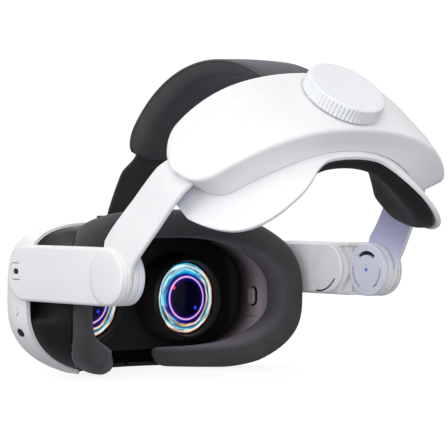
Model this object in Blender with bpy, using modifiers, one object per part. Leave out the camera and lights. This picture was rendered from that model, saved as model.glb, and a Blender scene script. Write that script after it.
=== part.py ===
"""A standalone VR headset with a rigid halo head strap, as an assembly of separate pieces.

Lengths are in metres. +X is the wearer's left, +Y the wearer's rear and +Z is up. The world origin is the
middle of the flat on which the visor rests. Most pieces are drawn from the optical centre, midway between the
lenses. The head strap's pieces are drawn from the axis of the temple pivots, in a frame tilted up with the
strap: there +Y runs from the pivots to the back of the head and +Z towards the crown.
"""

from math import atan2, cos, hypot, pi, radians, sin

import bmesh
import bpy
from mathutils import Matrix, Vector

MM = 0.001
GAP = 0.3 * MM

# Driving dimensions
IPD = 64 * MM
LENS_RADIUS = 19.4 * MM
OPTICAL_CENTRE = Vector((0, 21, 36)) * MM
REST_Z = -OPTICAL_CENTRE.z

VISOR_HALF_WIDTH = 83.5 * MM
VISOR_TOP = 41.5 * MM
VISOR_BOTTOM = -41 * MM
VISOR_REAR_Y = 2 * MM
VISOR_FRONT_Y = -43 * MM
VISOR_BOW = 14 * MM
VISOR_ROUNDNESS = 2.7
VISOR_POWERS = (4.4, 2.3)
VISOR_SEGMENTS = 40
SHELL_WALL = 2.2 * MM

PIVOT = Vector((0, 90.9, 16.8)) * MM
PIVOT_RADIUS = 13.6 * MM
PIN_RADIUS = 4 * MM
TEMPLE_OUTER_X = 88.5 * MM
TEMPLE_INNER_X = 78.4 * MM
TEMPLE_FRONT_Y = 6 * MM
TEMPLE_HEIGHT = 27.6 * MM
FORK_FRONT_Y = 75 * MM

STRAP_TILT = radians(52)
ARM_OUTER_X = 86 * MM
ARM_THICKNESS = 3 * MM
ARM_WIDTH = 24.3 * MM

CRADLE_HALF_WIDTH = 86 * MM
CRADLE_DEPTH = 76 * MM
CRADLE_START_Y = 29 * MM
CRADLE_TOP = 24.5 * MM
CRADLE_BOTTOM = -22 * MM
CRADLE_WALL = 2 * MM
PLATE_HALF_WIDTH = 77 * MM
PLATE_DEPTH = 79 * MM
PLATE_START_Y = 13 * MM
PLATE_THICKNESS = 2.4 * MM

KNOB_RADIUS = 19.9 * MM
KNOB_FACE_Y = 112.4 * MM
PINION_RADIUS = 5.6 * MM
RIBS = 40

PAD_CENTRE = Vector((0, 13, 20)) * MM
PAD_OUTER_RADIUS = 83 * MM
PAD_THICKNESS = 9 * MM
PAD_WIDTH = 37 * MM
WEBBING_WIDTH = 32 * MM

TO_SIDE = Matrix.Rotation(pi / 2, 4, "Y") @ Matrix.Rotation(pi / 2, 4, "Z")
TO_REAR = Matrix.Rotation(-pi / 2, 4, "X")

COLOURS = {
    "white_shell": ((0.82, 0.83, 0.85), 0.32, 0),
    "white_soft": ((0.74, 0.75, 0.79), 0.45, 0),
    "black_smooth": ((0.02, 0.02, 0.022), 0.4, 0),
    "black_foam": ((0.045, 0.045, 0.048), 0.9, 0),
    "black_leather": ((0.05, 0.05, 0.055), 0.55, 0),
    "black_webbing": ((0.02, 0.02, 0.02), 0.85, 0),
    "dark_glass": ((0.01, 0.01, 0.015), 0.05, 0),
    "lens_glass": ((0.05, 0.08, 0.3), 0.03, 0),
    "board_green": ((0.02, 0.09, 0.04), 0.6, 0),
    "metal": ((0.6, 0.6, 0.62), 0.3, 1),
}


def collection(name):
    """Makes a collection in the scene."""
    made = bpy.data.collections.new(name)
    bpy.context.scene.collection.children.link(made)
    return made


def material(name):
    """Makes a named material once and returns it."""
    found = bpy.data.materials.get(name)
    if found:
        return found
    colour, roughness, metallic = COLOURS[name]
    made = bpy.data.materials.new(name)
    made.use_nodes = True
    shader = made.node_tree.nodes["Principled BSDF"]
    shader.inputs["Base Color"].default_value = (*colour, 1)
    shader.inputs["Roughness"].default_value = roughness
    shader.inputs["Metallic"].default_value = metallic
    return made


def empty(name, parent=None, location=(0, 0, 0), tilt=0.0):
    """Adds an empty that carries other pieces; tilt turns it about X."""
    made = bpy.data.objects.new(name, None)
    made.parent = parent
    made.location = location
    made.rotation_euler = (tilt, 0, 0)
    PARTS.objects.link(made)
    return made


def add(name, bm, look, parent, matrix=None, home=None):
    """Turns a bmesh into a named object on its parent."""
    bmesh.ops.recalc_face_normals(bm, faces=bm.faces)
    mesh = bpy.data.meshes.new(name)
    bm.to_mesh(mesh)
    bm.free()
    if look:
        mesh.materials.append(material(look))
    made = bpy.data.objects.new(name, mesh)
    made.parent = parent
    if matrix is not None:
        made.matrix_local = matrix
    (home or PARTS).objects.link(made)
    return made


def smooth(piece, degrees=35):
    """Shades a piece smooth, with its corners kept sharp."""
    piece.data.shade_smooth()
    piece.data.set_sharp_from_angle(angle=radians(degrees))
    return piece


def bevel(piece, width, segments=2, degrees=40):
    """Rounds the edges sharper than the given angle."""
    mod = piece.modifiers.new("Bevel", "BEVEL")
    mod.width = width
    mod.segments = segments
    mod.limit_method = "ANGLE"
    mod.angle_limit = radians(degrees)
    return piece


def cut(piece, cutter):
    """Takes the cutter's volume out of a piece."""
    mod = piece.modifiers.new("Cut " + cutter.name, "BOOLEAN")
    mod.operation = "DIFFERENCE"
    mod.object = cutter
    cutter.hide_render = True
    cutter.display_type = "WIRE"
    return piece


def join(piece, other):
    """Joins a touching guide solid to a piece."""
    cut(piece, other).modifiers[-1].operation = "UNION"
    return piece


def place(x, y, z):
    return Matrix.Translation((x, y, z))


def box(name, low, high, look, parent, home=None):
    """Adds a box between two corners."""
    bm = bmesh.new()
    bmesh.ops.create_cube(bm, size=1)
    size = Vector(high) - Vector(low)
    bmesh.ops.scale(bm, vec=size, verts=bm.verts)
    middle = (Vector(high) + Vector(low)) / 2
    return add(name, bm, look, parent, place(*middle), home)


def disc(name, radius, thickness, look, parent, matrix, home=None, segments=32, far_radius=None):
    """Adds a cylinder or a cone frustum along local Z, centred on its place."""
    bm = bmesh.new()
    bmesh.ops.create_cone(
        bm,
        cap_ends=True,
        segments=segments,
        radius1=radius,
        radius2=radius if far_radius is None else far_radius,
        depth=thickness,
    )
    return smooth(add(name, bm, look, parent, matrix, home))


def turned(name, profile, look, parent, matrix, steps=32):
    """Turns a profile of (radius, height) points, outer side from top to bottom, about local Z."""
    bm = bmesh.new()
    points = [bm.verts.new((r, 0, h)) for r, h in profile]
    closed = profile[0][0] > 0
    for a, b in zip(points, points[1:] + (points[:1] if closed else [])):
        bm.edges.new((a, b))
    mesh = bpy.data.meshes.new(name)
    bm.to_mesh(mesh)
    bm.free()
    mesh.materials.append(material(look))
    made = bpy.data.objects.new(name, mesh)
    made.parent = parent
    made.matrix_local = matrix
    PARTS.objects.link(made)
    mod = made.modifiers.new("Screw", "SCREW")
    mod.steps = mod.render_steps = steps
    mod.use_merge_vertices = True
    mod.merge_threshold = 0.00001
    mod.use_smooth_shade = True
    return made


def prism(name, outline, thickness, look, parent, matrix, home=None):
    """Extrudes a flat XY outline along local Z, centred on its place."""
    curve = bpy.data.curves.new(name, "CURVE")
    curve.dimensions = "2D"
    curve.fill_mode = "BOTH"
    curve.extrude = thickness / 2
    line = curve.splines.new("POLY")
    line.points.add(len(outline) - 1)
    for point, (x, y) in zip(line.points, outline):
        point.co = (x, y, 0, 1)
    line.use_cyclic_u = True
    guide = bpy.data.objects.new(name + "_outline", curve)
    CUTTERS.objects.link(guide)
    graph = bpy.context.evaluated_depsgraph_get()
    mesh = bpy.data.meshes.new_from_object(guide.evaluated_get(graph))
    bpy.data.objects.remove(guide)
    bm = bmesh.new()
    bm.from_mesh(mesh)
    bmesh.ops.remove_doubles(bm, verts=bm.verts, dist=0.00001)
    return add(name, bm, look, parent, matrix, home)


def arc(centre_x, centre_y, radius, start, end, count):
    """Points on an arc, angles in degrees."""
    turns = [radians(start + (end - start) * i / count) for i in range(count + 1)]
    return [(centre_x + radius * cos(t), centre_y + radius * sin(t)) for t in turns]


def pill(length, width, count=10):
    """A stadium outline, length along X."""
    reach = (length - width) / 2
    return arc(reach, 0, width / 2, -90, 90, count) + arc(-reach, 0, width / 2, 90, 270, count)


def rounded(length, width, radius, count=4):
    """A rectangle outline with round corners."""
    x, y = length / 2 - radius, width / 2 - radius
    corners = [(x, y, 0), (-x, y, 90), (-x, -y, 180), (x, -y, 270)]
    return [p for cx, cy, a in corners for p in arc(cx, cy, radius, a, a + 90, count)]


def loft(name, rings, look, parent, matrix=None, caps=True, home=None):
    """Skins a row of rings that have the same number of points each."""
    bm = bmesh.new()
    rows = [[bm.verts.new(p) for p in ring] for ring in rings]
    count = len(rows[0])
    for row, following in zip(rows, rows[1:]):
        for i in range(count):
            j = (i + 1) % count
            bm.faces.new((row[i], row[j], following[j], following[i]))
    if caps:
        bm.faces.new(rows[0])
        bm.faces.new(rows[-1])
    return smooth(add(name, bm, look, parent, matrix, home))


def oval(turn, half_width, top, bottom, power_top, power_bottom):
    """A point on a rounded-box outline whose upper and lower halves differ, at a turn from +X."""
    c, s = cos(turn), sin(turn)
    power = power_top if s >= 0 else power_bottom
    height = top if s >= 0 else -bottom
    x = half_width * abs(c) ** (2 / power) * (1 if c >= 0 else -1)
    z = height * abs(s) ** (2 / power) * (1 if s >= 0 else -1)
    return x, z


def visor_point(turn, depth_turn):
    """A point of the visor's outer face: turn goes round it, depth_turn from its rear rim to its front."""
    scale = cos(depth_turn) ** (2 / VISOR_ROUNDNESS)
    depth = sin(depth_turn) ** (2 / VISOR_ROUNDNESS)
    x, z = oval(turn, VISOR_HALF_WIDTH, VISOR_TOP, VISOR_BOTTOM, *VISOR_POWERS)
    x, z = x * scale, z * scale
    y = VISOR_REAR_Y + VISOR_BOW * (x / VISOR_HALF_WIDTH) ** 2 + (VISOR_FRONT_Y - VISOR_REAR_Y) * depth
    return Vector((x, y, max(z, REST_Z)))


def on_visor(turn_degrees, depth_degrees):
    """A matrix on the visor's outer face, local Z along the face's normal, local X level."""
    t, d, step = radians(turn_degrees), radians(depth_degrees), 0.01
    point = visor_point(t, d)
    along = visor_point(t + step, d) - visor_point(t - step, d)
    across = visor_point(t, d + step) - visor_point(t, d - step)
    normal = along.cross(across).normalized()
    if normal.dot(point) < 0:
        normal = -normal
    level = Vector((0, 0, 1)).cross(normal).normalized()
    up = normal.cross(level)
    matrix = Matrix((level, up, normal)).transposed().to_4x4()
    matrix.translation = point
    return matrix


def visor_front_y(x, z):
    """How far forward the visor's outer face lies at a place seen from the front."""
    power, height = (VISOR_POWERS[0], VISOR_TOP) if z >= 0 else (VISOR_POWERS[1], -VISOR_BOTTOM)
    scale = (abs(x / VISOR_HALF_WIDTH) ** power + abs(z / height) ** power) ** (1 / power)
    depth = (1 - scale**VISOR_ROUNDNESS) ** (1 / VISOR_ROUNDNESS)
    return VISOR_REAR_Y + VISOR_BOW * (x / VISOR_HALF_WIDTH) ** 2 + (VISOR_FRONT_Y - VISOR_REAR_Y) * depth


def front_frame(x, z):
    """A matrix on the visor's front, local Z forwards along the face's normal and local Y up."""
    step = 1 * MM
    yaw = atan2(visor_front_y(x + step, z) - visor_front_y(x - step, z), 2 * step)
    matrix = Matrix.Rotation(yaw, 4, "Z") @ Matrix.Rotation(pi / 2, 4, "X")
    matrix.translation = (x, visor_front_y(x, z), z)
    return matrix


# ---------------------------------------------------------------- visor


def nose_cutter(name, parent, clearance):
    """An oval cutter that opens the visor's underside for the nose."""
    nose = disc(name, 1, 1, None, parent, place(0, 13 * MM, -38 * MM), CUTTERS, 40)
    nose.data.transform(Matrix.Diagonal((46 * MM + clearance, 29 * MM + clearance, 30 * MM, 1)))
    return nose


def make_front_shell(parent):
    """The white outer shell, open at the rear, with its window, button and nose openings."""
    steps = 8
    turns = [2 * pi * i / VISOR_SEGMENTS for i in range(VISOR_SEGMENTS)]
    depths = [radians(86) * k / steps for k in range(steps + 1)]
    shell = loft(
        "front_shell",
        [[visor_point(t, d) for t in turns] for d in depths],
        "white_shell",
        parent,
        caps=False,
    )
    bm = bmesh.new()
    bm.from_mesh(shell.data)
    bm.verts.ensure_lookup_table()
    front = bm.faces.new(bm.verts[-VISOR_SEGMENTS:])
    bmesh.ops.poke(bm, faces=[front])
    bmesh.ops.recalc_face_normals(bm, faces=bm.faces)
    bm.to_mesh(shell.data)
    bm.free()
    smooth(shell, 60)
    wall = shell.modifiers.new("Wall", "SOLIDIFY")
    wall.thickness = SHELL_WALL
    wall.offset = -1
    return cut(shell, nose_cutter("nose_cut", parent, 0))


def make_windows(parent, shell):
    """Three dark front windows let into the shell, with a sensor module behind each."""
    places = {"left": 37 * MM, "centre": 0.0, "right": -37 * MM}
    for side, x in places.items():
        frame = front_frame(x, 2 * MM)
        length, width = (30 * MM, 12.5 * MM) if x else (22 * MM, 11 * MM)
        upright = frame @ Matrix.Rotation(pi / 2, 4, "Z")
        deep = upright @ place(0, 0, -1 * MM)
        cut(shell, prism(f"window_cut_{side}", pill(length, width), 8 * MM, None, parent, deep, CUTTERS))
        window = prism(
            f"sensor_window_{side}",
            pill(length - 2 * GAP, width - 2 * GAP),
            1.8 * MM,
            "dark_glass",
            parent,
            upright @ place(0, 0, -0.9 * MM),
        )
        smooth(window)
        module = prism(
            f"sensor_module_{side}",
            rounded(length - 6 * MM, width - 3 * MM, 1 * MM),
            2.4 * MM,
            "black_smooth",
            parent,
            upright @ place(0, 0, -4.2 * MM),
        )
        smooth(module)


def make_side_cameras(parent, shell):
    """An oval tracking camera low on each side of the visor."""
    for side, turn in (("left", -16.5), ("right", 196.5)):
        spot = on_visor(turn, 6.3)
        outline = pill(6 * MM, 4.6 * MM, 6)
        cut(shell, prism(f"camera_cut_{side}", outline, 9 * MM, None, parent, spot, CUTTERS))
        window = prism(
            f"side_camera_{side}",
            pill(6 * MM - 2 * GAP, 4.6 * MM - 2 * GAP, 6),
            2.4 * MM,
            "dark_glass",
            parent,
            spot @ place(0, 0, -0.9 * MM),
        )
        smooth(window)


def make_visor_buttons(parent, shell):
    """The round power button on the left side and the volume rocker under the right side."""
    spot = on_visor(-2.5, 7)
    cut(shell, disc("power_cut", 2.3 * MM, 12 * MM, None, parent, spot, CUTTERS, 24))
    disc("power_button", 2 * MM, 2.6 * MM, "white_shell", parent, spot @ place(0, 0, -0.8 * MM), None, 24)
    under = on_visor(238, 36)
    cut(shell, prism("volume_cut", pill(15 * MM, 4.6 * MM, 6), 12 * MM, None, parent, under, CUTTERS))
    sunk = under @ place(0, 0, -0.9 * MM)
    rocker = prism("volume_rocker", pill(14.4 * MM, 4 * MM, 6), 2.4 * MM, "white_shell", parent, sunk)
    smooth(rocker)


def make_rear_housing(parent):
    """The dark ring that closes the shell's rear rim round the face interface."""

    def ring(inset_x, inset_z, y_offset):
        points = []
        for i in range(VISOR_SEGMENTS):
            turn = 2 * pi * i / VISOR_SEGMENTS
            top, bottom = VISOR_TOP - inset_z, VISOR_BOTTOM + inset_z
            x, z = oval(turn, VISOR_HALF_WIDTH - inset_x, top, bottom, *VISOR_POWERS)
            y = VISOR_REAR_Y + VISOR_BOW * (x / VISOR_HALF_WIDTH) ** 2 + y_offset
            points.append(Vector((x, y, max(z, REST_Z + SHELL_WALL + 0.4 * MM))))
        return points

    wide, narrow = (3 * MM, 3 * MM), (7.2 * MM, 5 * MM)
    front, rear = -7 * MM, -0.6 * MM
    rows = [ring(*wide, front), ring(*wide, rear), ring(*narrow, rear), ring(*narrow, front)]
    bm = bmesh.new()
    grid = [[bm.verts.new(p) for p in row] for row in rows]
    for near, far in zip(grid, grid[1:] + grid[:1]):
        for i in range(VISOR_SEGMENTS):
            j = (i + 1) % VISOR_SEGMENTS
            bm.faces.new((near[i], near[j], far[j], far[i]))
    housing = smooth(add("rear_housing", bm, "black_smooth", parent))
    cut(housing, nose_cutter("housing_nose_cut", parent, 2 * MM))


def make_optics(parent):
    """The lens panel, and for each eye a barrel with its lens and its display."""
    outline = [oval(2 * pi * (i + 0.5) / 44, 70 * MM, 35 * MM, -27 * MM, 3, 3.4) for i in range(44)]
    facing = Matrix.Rotation(pi / 2, 4, "X")
    panel = prism("lens_panel", outline, 2 * MM, "black_smooth", parent, place(0, -13.5 * MM, 0) @ facing)
    for side, sign in (("left", 1), ("right", -1)):
        centre = sign * IPD / 2
        slot = prism(
            f"barrel_slot_{side}",
            pill(52 * MM, 44.6 * MM, 15),
            6 * MM,
            None,
            parent,
            place(centre, -13.5 * MM, 0) @ facing,
            CUTTERS,
        )
        cut(panel, slot)
        holder = empty(f"eye_{side}", parent, (centre, 0, 0))
        outer, inner = LENS_RADIUS + 2.3 * MM, LENS_RADIUS + GAP
        barrel = [
            (inner + 0.6 * MM, 0),
            (outer, -0.9 * MM),
            (outer, -17 * MM),
            (inner, -17 * MM),
            (inner, -1 * MM),
        ]
        turned(f"lens_barrel_{side}", barrel, "black_smooth", holder, TO_REAR)
        edge = LENS_RADIUS
        lens = [(0, -2 * MM)]
        lens += [(edge * k / 5, (-2 - 2.6 * (k / 5) ** 2) * MM) for k in range(1, 6)]
        lens += [(edge, -9 * MM), (edge * 0.5, -10.6 * MM), (0, -11.2 * MM)]
        turned(f"lens_{side}", lens, "lens_glass", holder, TO_REAR)
        display = prism(
            f"display_panel_{side}",
            rounded(43 * MM, 45 * MM, 4 * MM),
            1.6 * MM,
            "dark_glass",
            holder,
            place(0, -18.3 * MM, 0) @ TO_REAR,
        )
        smooth(display)


def make_electronics(parent):
    """The board, battery, heat sink and fan between the displays and the shell's front."""
    board_front = -22 * MM
    outline = rounded(100 * MM, 44 * MM, 6 * MM)
    board = prism("main_board", outline, 1.4 * MM, "board_green", parent, place(0, -21.2 * MM, 0) @ TO_REAR)
    smooth(board)
    low = (3 * MM, -31 * MM, -18 * MM)
    high = (44 * MM, board_front - GAP, 20 * MM)
    bevel(box("battery_pack", low, high, "metal", parent), 1.5 * MM)
    low = (-9 * MM, -25 * MM, -17 * MM)
    high = (2 * MM, board_front - GAP, 21 * MM)
    base = box("heat_sink", low, high, "metal", parent)
    for i in range(3):
        x = (-8.8 + 4.4 * i) * MM
        low = (x, -31 * MM, -17 * MM)
        high = (x + 1.4 * MM, -24 * MM, 21 * MM)
        join(base, box(f"fin_{i}", low, high, None, parent, CUTTERS))
    centre = Vector((-27 * MM, 0, 1 * MM))
    outer, inner, back, floor, front = 16 * MM, 14.8 * MM, -23 * MM, -24.2 * MM, -31 * MM
    cup = [(0, back), (outer, back), (outer, front), (inner, front), (inner, floor), (0, floor)]
    turned("fan_housing", cup, "black_smooth", parent, Matrix.Translation(centre) @ TO_REAR)
    axle = empty("fan_axle", parent, centre)
    blades = 7
    outline = []
    for i in range(blades):
        for radius, turn in ((6, -0.1), (13.6, -0.02), (13.6, 0.06), (6, 0.06)):
            angle = 2 * pi * i / blades + turn
            outline.append((radius * MM * cos(angle), radius * MM * sin(angle)))
    prism("fan_rotor", outline, 5 * MM, "black_smooth", axle, place(0, -27.4 * MM, 0) @ TO_REAR)


def make_ipd_wheel(parent, shell):
    """The lens distance wheel, sunk into the underside of the visor."""
    spot = Vector((24, -21, -30)) * MM
    slot = box(
        "wheel_slot",
        spot + Vector((-2.6, -5.6, -10)) * MM,
        spot + Vector((2.6, 5.6, 0)) * MM,
        None,
        parent,
        CUTTERS,
    )
    cut(shell, slot)
    holder = empty("wheel_axle", parent, spot)
    teeth = 18
    outline = []
    for i in range(2 * teeth):
        radius = (5 if i % 2 else 4.6) * MM
        outline.append((radius * cos(pi * i / teeth), radius * sin(pi * i / teeth)))
    prism("lens_distance_wheel", outline, 4 * MM, "black_smooth", holder, TO_SIDE)


def make_strap_anchor(parent):
    """The flat buckle on top of the visor that the webbing passes through."""
    spot = place(0, -8.5 * MM, 43.2 * MM)
    outline = rounded(40 * MM, 12 * MM, 3 * MM)
    anchor = prism("strap_anchor", outline, 2.4 * MM, "black_smooth", parent, spot)
    outline = rounded(WEBBING_WIDTH + 1 * MM, 3.4 * MM, 1 * MM)
    cut(anchor, prism("anchor_slot", outline, 6 * MM, None, parent, spot, CUTTERS))
    smooth(anchor)


# ---------------------------------------------------------------- face interface

FACE_RISE = 3 * MM
FACE_SQUARENESS = 3.3
CHEEK_PATH = ((66, 44), (50, 34), (35, 18), (22, 3), (14, -7))


def face_depth(turn):
    """How far back the face cushion's rear face lies, at a turn from +X round the face."""
    x, z = oval(turn, 74 * MM, 42 * MM, -42 * MM, 2.3, 3)
    brow = (34 + 14 * abs(x / (74 * MM)) ** 5) * MM
    if sin(turn) >= 0:
        return brow
    reach = abs(x) / MM
    cheek = 48.0
    if reach < CHEEK_PATH[0][0]:
        for (x0, y0), (x1, y1) in zip(CHEEK_PATH, CHEEK_PATH[1:]):
            if x1 <= reach:
                cheek = y1 + (y0 - y1) * (reach - x1) / (x0 - x1)
                break
    else:
        cheek = 44 + 4 * (reach - 66) / 8
    return min(brow, cheek * MM)


def face_turns(more):
    """Turns from the left of the nose, over the brow, to its right, with more steps at each end."""
    nose, count = radians(21), 48
    step = (2 * pi - 2 * nose) / count
    return [nose - pi / 2 + step * i for i in range(-more, count + more + 1)]


def face_ring(turn, points):
    """A section across the interface: each point is (half width, top, bottom, y, squareness below)."""
    ring = []
    for half_width, top, bottom, y, power in points:
        x, z = oval(turn, half_width * MM, top * MM, bottom * MM, 2.7, power)
        ring.append(Vector((x, y, max(z + FACE_RISE, REST_Z))))
    return ring


def nose_taper(turn):
    """1 at the side of the nose, falling to 0 across the cheek."""
    from_nose = abs((turn + pi / 2 + pi) % (2 * pi) - pi)
    return max(0.0, 1 - from_nose / radians(50))


def brow_step(turn):
    """How much deeper the cushion is over the brow than at the sides."""
    share = min(1.0, max(0.0, (sin(turn) - 0.42) / 0.38))
    return 6.5 * MM * share * share * (3 - 2 * share)


def make_interface_frame(parent):
    """The rigid tunnel from the visor to the cushion, open at the nose."""
    rings = []
    for turn in face_turns(0):
        rear = face_depth(turn) - 9 * MM - brow_step(turn)
        x = oval(turn, 75.5 * MM, 33 * MM, -36 * MM, 2.4, 4)[0]
        rim = VISOR_REAR_Y + VISOR_BOW * (x / VISOR_HALF_WIDTH) ** 2 + 1 * MM
        rim = min(rim, rear - 2.4 * MM)
        front = max(-12 * MM, min(-9 * MM, rim - 4 * MM))
        low = 3.4 * nose_taper(turn)
        square = 2.4 + 1.6 * min(1, 2 * nose_taper(turn))
        section = (
            (73.5, 31.4, -32, front, square),
            (75, 32.8, -33.8, front, square),
            (75, 32.8, -33.8, rim, square),
            (75.6, 38.4, -36.6, rim + 0.4 * MM, FACE_SQUARENESS),
            (75.2, 40, -38, rim + (rear - rim) * 0.4, FACE_SQUARENESS),
            (72.5, 44.2, -39, rear, FACE_SQUARENESS),
            (60, 29, -24.4 - low, rear - 4 * MM, FACE_SQUARENESS),
            (60, 28, -23.8 - low, rear - 5.6 * MM, FACE_SQUARENESS),
            (73.2, 31.4, -31.6, min(rim + 1.6 * MM, rear - 6.5 * MM), square),
        )
        rings.append(face_ring(turn, section))
    return loft("interface_frame", rings, "black_smooth", parent)


def make_face_cushion(parent):
    """The foam ring that meets the face, open at the nose."""
    rings = []
    for turn in face_turns(2):
        rear = face_depth(turn)
        front = rear - 8.2 * MM - brow_step(turn)
        low = 3.4 * nose_taper(turn)
        section = (
            (72.4, 44.2, -40.4, front, FACE_SQUARENESS),
            (73, 45.6, -42, front + 3 * MM, FACE_SQUARENESS),
            (72, 44.8, -42, rear - 2 * MM, FACE_SQUARENESS),
            (69, 41.6, -37.4, rear, FACE_SQUARENESS),
            (65, 35, -31.6 - low * 0.5, rear - 1.5 * MM, FACE_SQUARENESS),
            (60, 29.6, -25.4 - low, rear - 6 * MM, FACE_SQUARENESS),
            (58, 27, -23.4 - low, rear - 9.4 * MM, FACE_SQUARENESS),
            (60, 29, -24.6 - low, rear - 12.2 * MM, FACE_SQUARENESS),
        )
        rings.append(face_ring(turn, section))
    loft("face_cushion", rings, "black_foam", parent)


def make_release_buttons(parent, frame):
    """The pill buttons on the inside of the interface that free it to slide."""
    for side, sign in (("left", 1), ("right", -1)):
        upright = TO_SIDE @ Matrix.Rotation(pi / 2, 4, "Z")
        spot = place(sign * 70.6 * MM, 4 * MM, 0.2 * MM) @ upright
        outline = pill(9.8 * MM, 5.2 * MM, 6)
        cut(frame, prism(f"release_cut_{side}", outline, 6 * MM, None, parent, spot, CUTTERS))
        button = prism(
            f"release_button_{side}",
            pill(9 * MM, 4.4 * MM, 6),
            1.6 * MM,
            "black_smooth",
            parent,
            place(sign * 71.4 * MM, 4 * MM, 0.2 * MM) @ upright,
        )
        smooth(button)


# ---------------------------------------------------------------- temple arms


def make_temple(parent, side, sign):
    """One temple arm with its cover, speaker and pivot."""
    rear = PIVOT.y + PIVOT_RADIUS
    length = rear - TEMPLE_FRONT_Y
    middle_y, middle_z = (rear + TEMPLE_FRONT_Y) / 2, PIVOT.z

    def slab(name, outline, x_near, x_far, look, y=middle_y, z=middle_z, home=None):
        spot = place(sign * (x_near + x_far) / 2, y, z) @ TO_SIDE
        return prism(name, outline, abs(x_far - x_near), look, parent, spot, home)

    plate_inner = ARM_OUTER_X + GAP
    outline = pill(length, TEMPLE_HEIGHT, 14)
    shell = slab(f"temple_shell_{side}", outline, TEMPLE_INNER_X, TEMPLE_OUTER_X, "white_shell")
    bevel(shell, 1 * MM)
    smooth(shell)

    def cut_box(name, y0, y1, x0, x1, z0=-40 * MM, z1=60 * MM):
        low = (min(sign * x0, sign * x1), y0, z0)
        high = (max(sign * x0, sign * x1), y1, z1)
        cut(shell, box(f"{name}_{side}", low, high, None, parent, CUTTERS))

    cut_box("fork_cut", FORK_FRONT_Y, rear + 5 * MM, 70 * MM, plate_inner)
    cut_box("front_relief", -5 * MM, 17 * MM, 70 * MM, 84.2 * MM)
    cut_box("speaker_cavity", 20 * MM, 72 * MM, 70 * MM, 85 * MM, middle_z - 11 * MM, middle_z + 11 * MM)

    def pin_hole(name, radius=PIN_RADIUS + GAP):
        spot = place(sign * 84 * MM, PIVOT.y, PIVOT.z) @ TO_SIDE
        return disc(f"{name}_{side}", radius, 20 * MM, None, parent, spot, CUTTERS, 24)

    hole = pin_hole("pin_hole")
    cut(shell, hole)
    cover = slab(
        f"temple_cover_{side}",
        rounded(56.4 * MM, 25.6 * MM, 6 * MM, 6),
        76.2 * MM,
        TEMPLE_INNER_X - GAP,
        "white_soft",
        y=46.2 * MM,
    )
    bevel(cover, 0.6 * MM)
    outline = pill(16 * MM, 2.2 * MM, 5)
    cut(cover, slab(f"speaker_slot_{side}", outline, 70 * MM, 82 * MM, None, 60 * MM, 9 * MM, CUTTERS))
    smooth(cover)
    outline = rounded(30 * MM, 16 * MM, 5 * MM)
    smooth(slab(f"speaker_{side}", outline, 79.4 * MM, 84.2 * MM, "metal", 52 * MM))

    clip_length = rear - FORK_FRONT_Y - GAP
    reach = PIVOT_RADIUS
    front = reach - clip_length
    outline = arc(0, 0, reach, -90, 90, 14) + [(front, reach), (front, -reach)]
    clip = slab(f"clip_plate_{side}", outline, 79.5 * MM, 82.7 * MM, "white_soft", PIVOT.y)
    cut(clip, hole)
    smooth(clip)
    outline = pill(2 * reach, 2 * reach - 0.01 * MM, 16)
    retainer = slab(f"retainer_disc_{side}", outline, 76.1 * MM, 79.2 * MM, "white_soft", PIVOT.y)
    bevel(retainer, 0.5 * MM)
    for i, middle in enumerate((90, 205, 335)):
        near = arc(0, 0, 8 * MM, middle - 30, middle + 30, 6)
        far = arc(0, 0, 9.6 * MM, middle + 30, middle - 30, 6)
        name = f"retainer_slot_{side}_{i}"
        cut(retainer, slab(name, near + far, 74 * MM, 77.6 * MM, None, PIVOT.y, home=CUTTERS))
    smooth(retainer)
    pin_length = TEMPLE_OUTER_X - 79.5 * MM
    spot = place(sign * (TEMPLE_OUTER_X - pin_length / 2), PIVOT.y, PIVOT.z) @ TO_SIDE
    disc(f"pivot_pin_{side}", PIN_RADIUS, pin_length, "metal", parent, spot, None, 24)
    cap = slab(
        f"pivot_cap_{side}",
        arc(0, 0, PIVOT_RADIUS - 0.4 * MM, 0, 348, 29),
        TEMPLE_OUTER_X + GAP,
        TEMPLE_OUTER_X + 1.5 * MM,
        "white_shell",
        PIVOT.y,
    )
    bevel(cap, 0.5 * MM, 1)
    smooth(cap)
    return shell


def make_charging_port(parent, shell):
    """The square magnetic inlet at the front of the left temple arm."""
    spot = place(TEMPLE_OUTER_X, 14 * MM, 17.6 * MM) @ TO_SIDE
    pocket = prism("port_cut", rounded(9 * MM, 8.6 * MM, 2 * MM), 4 * MM, None, parent, spot, CUTTERS)
    cut(shell, pocket)
    outline = rounded(8.4 * MM, 8 * MM, 1.8 * MM)
    port = prism("charging_port", outline, 1.5 * MM, "white_soft", parent, spot @ place(0, 0, -0.8 * MM))
    outline = pill(5 * MM, 2.4 * MM, 6)
    cut(port, prism("port_hole", outline, 2 * MM, None, parent, spot @ place(0, 0, 0.6 * MM), CUTTERS))
    smooth(port)


# ---------------------------------------------------------------- head strap


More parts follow.
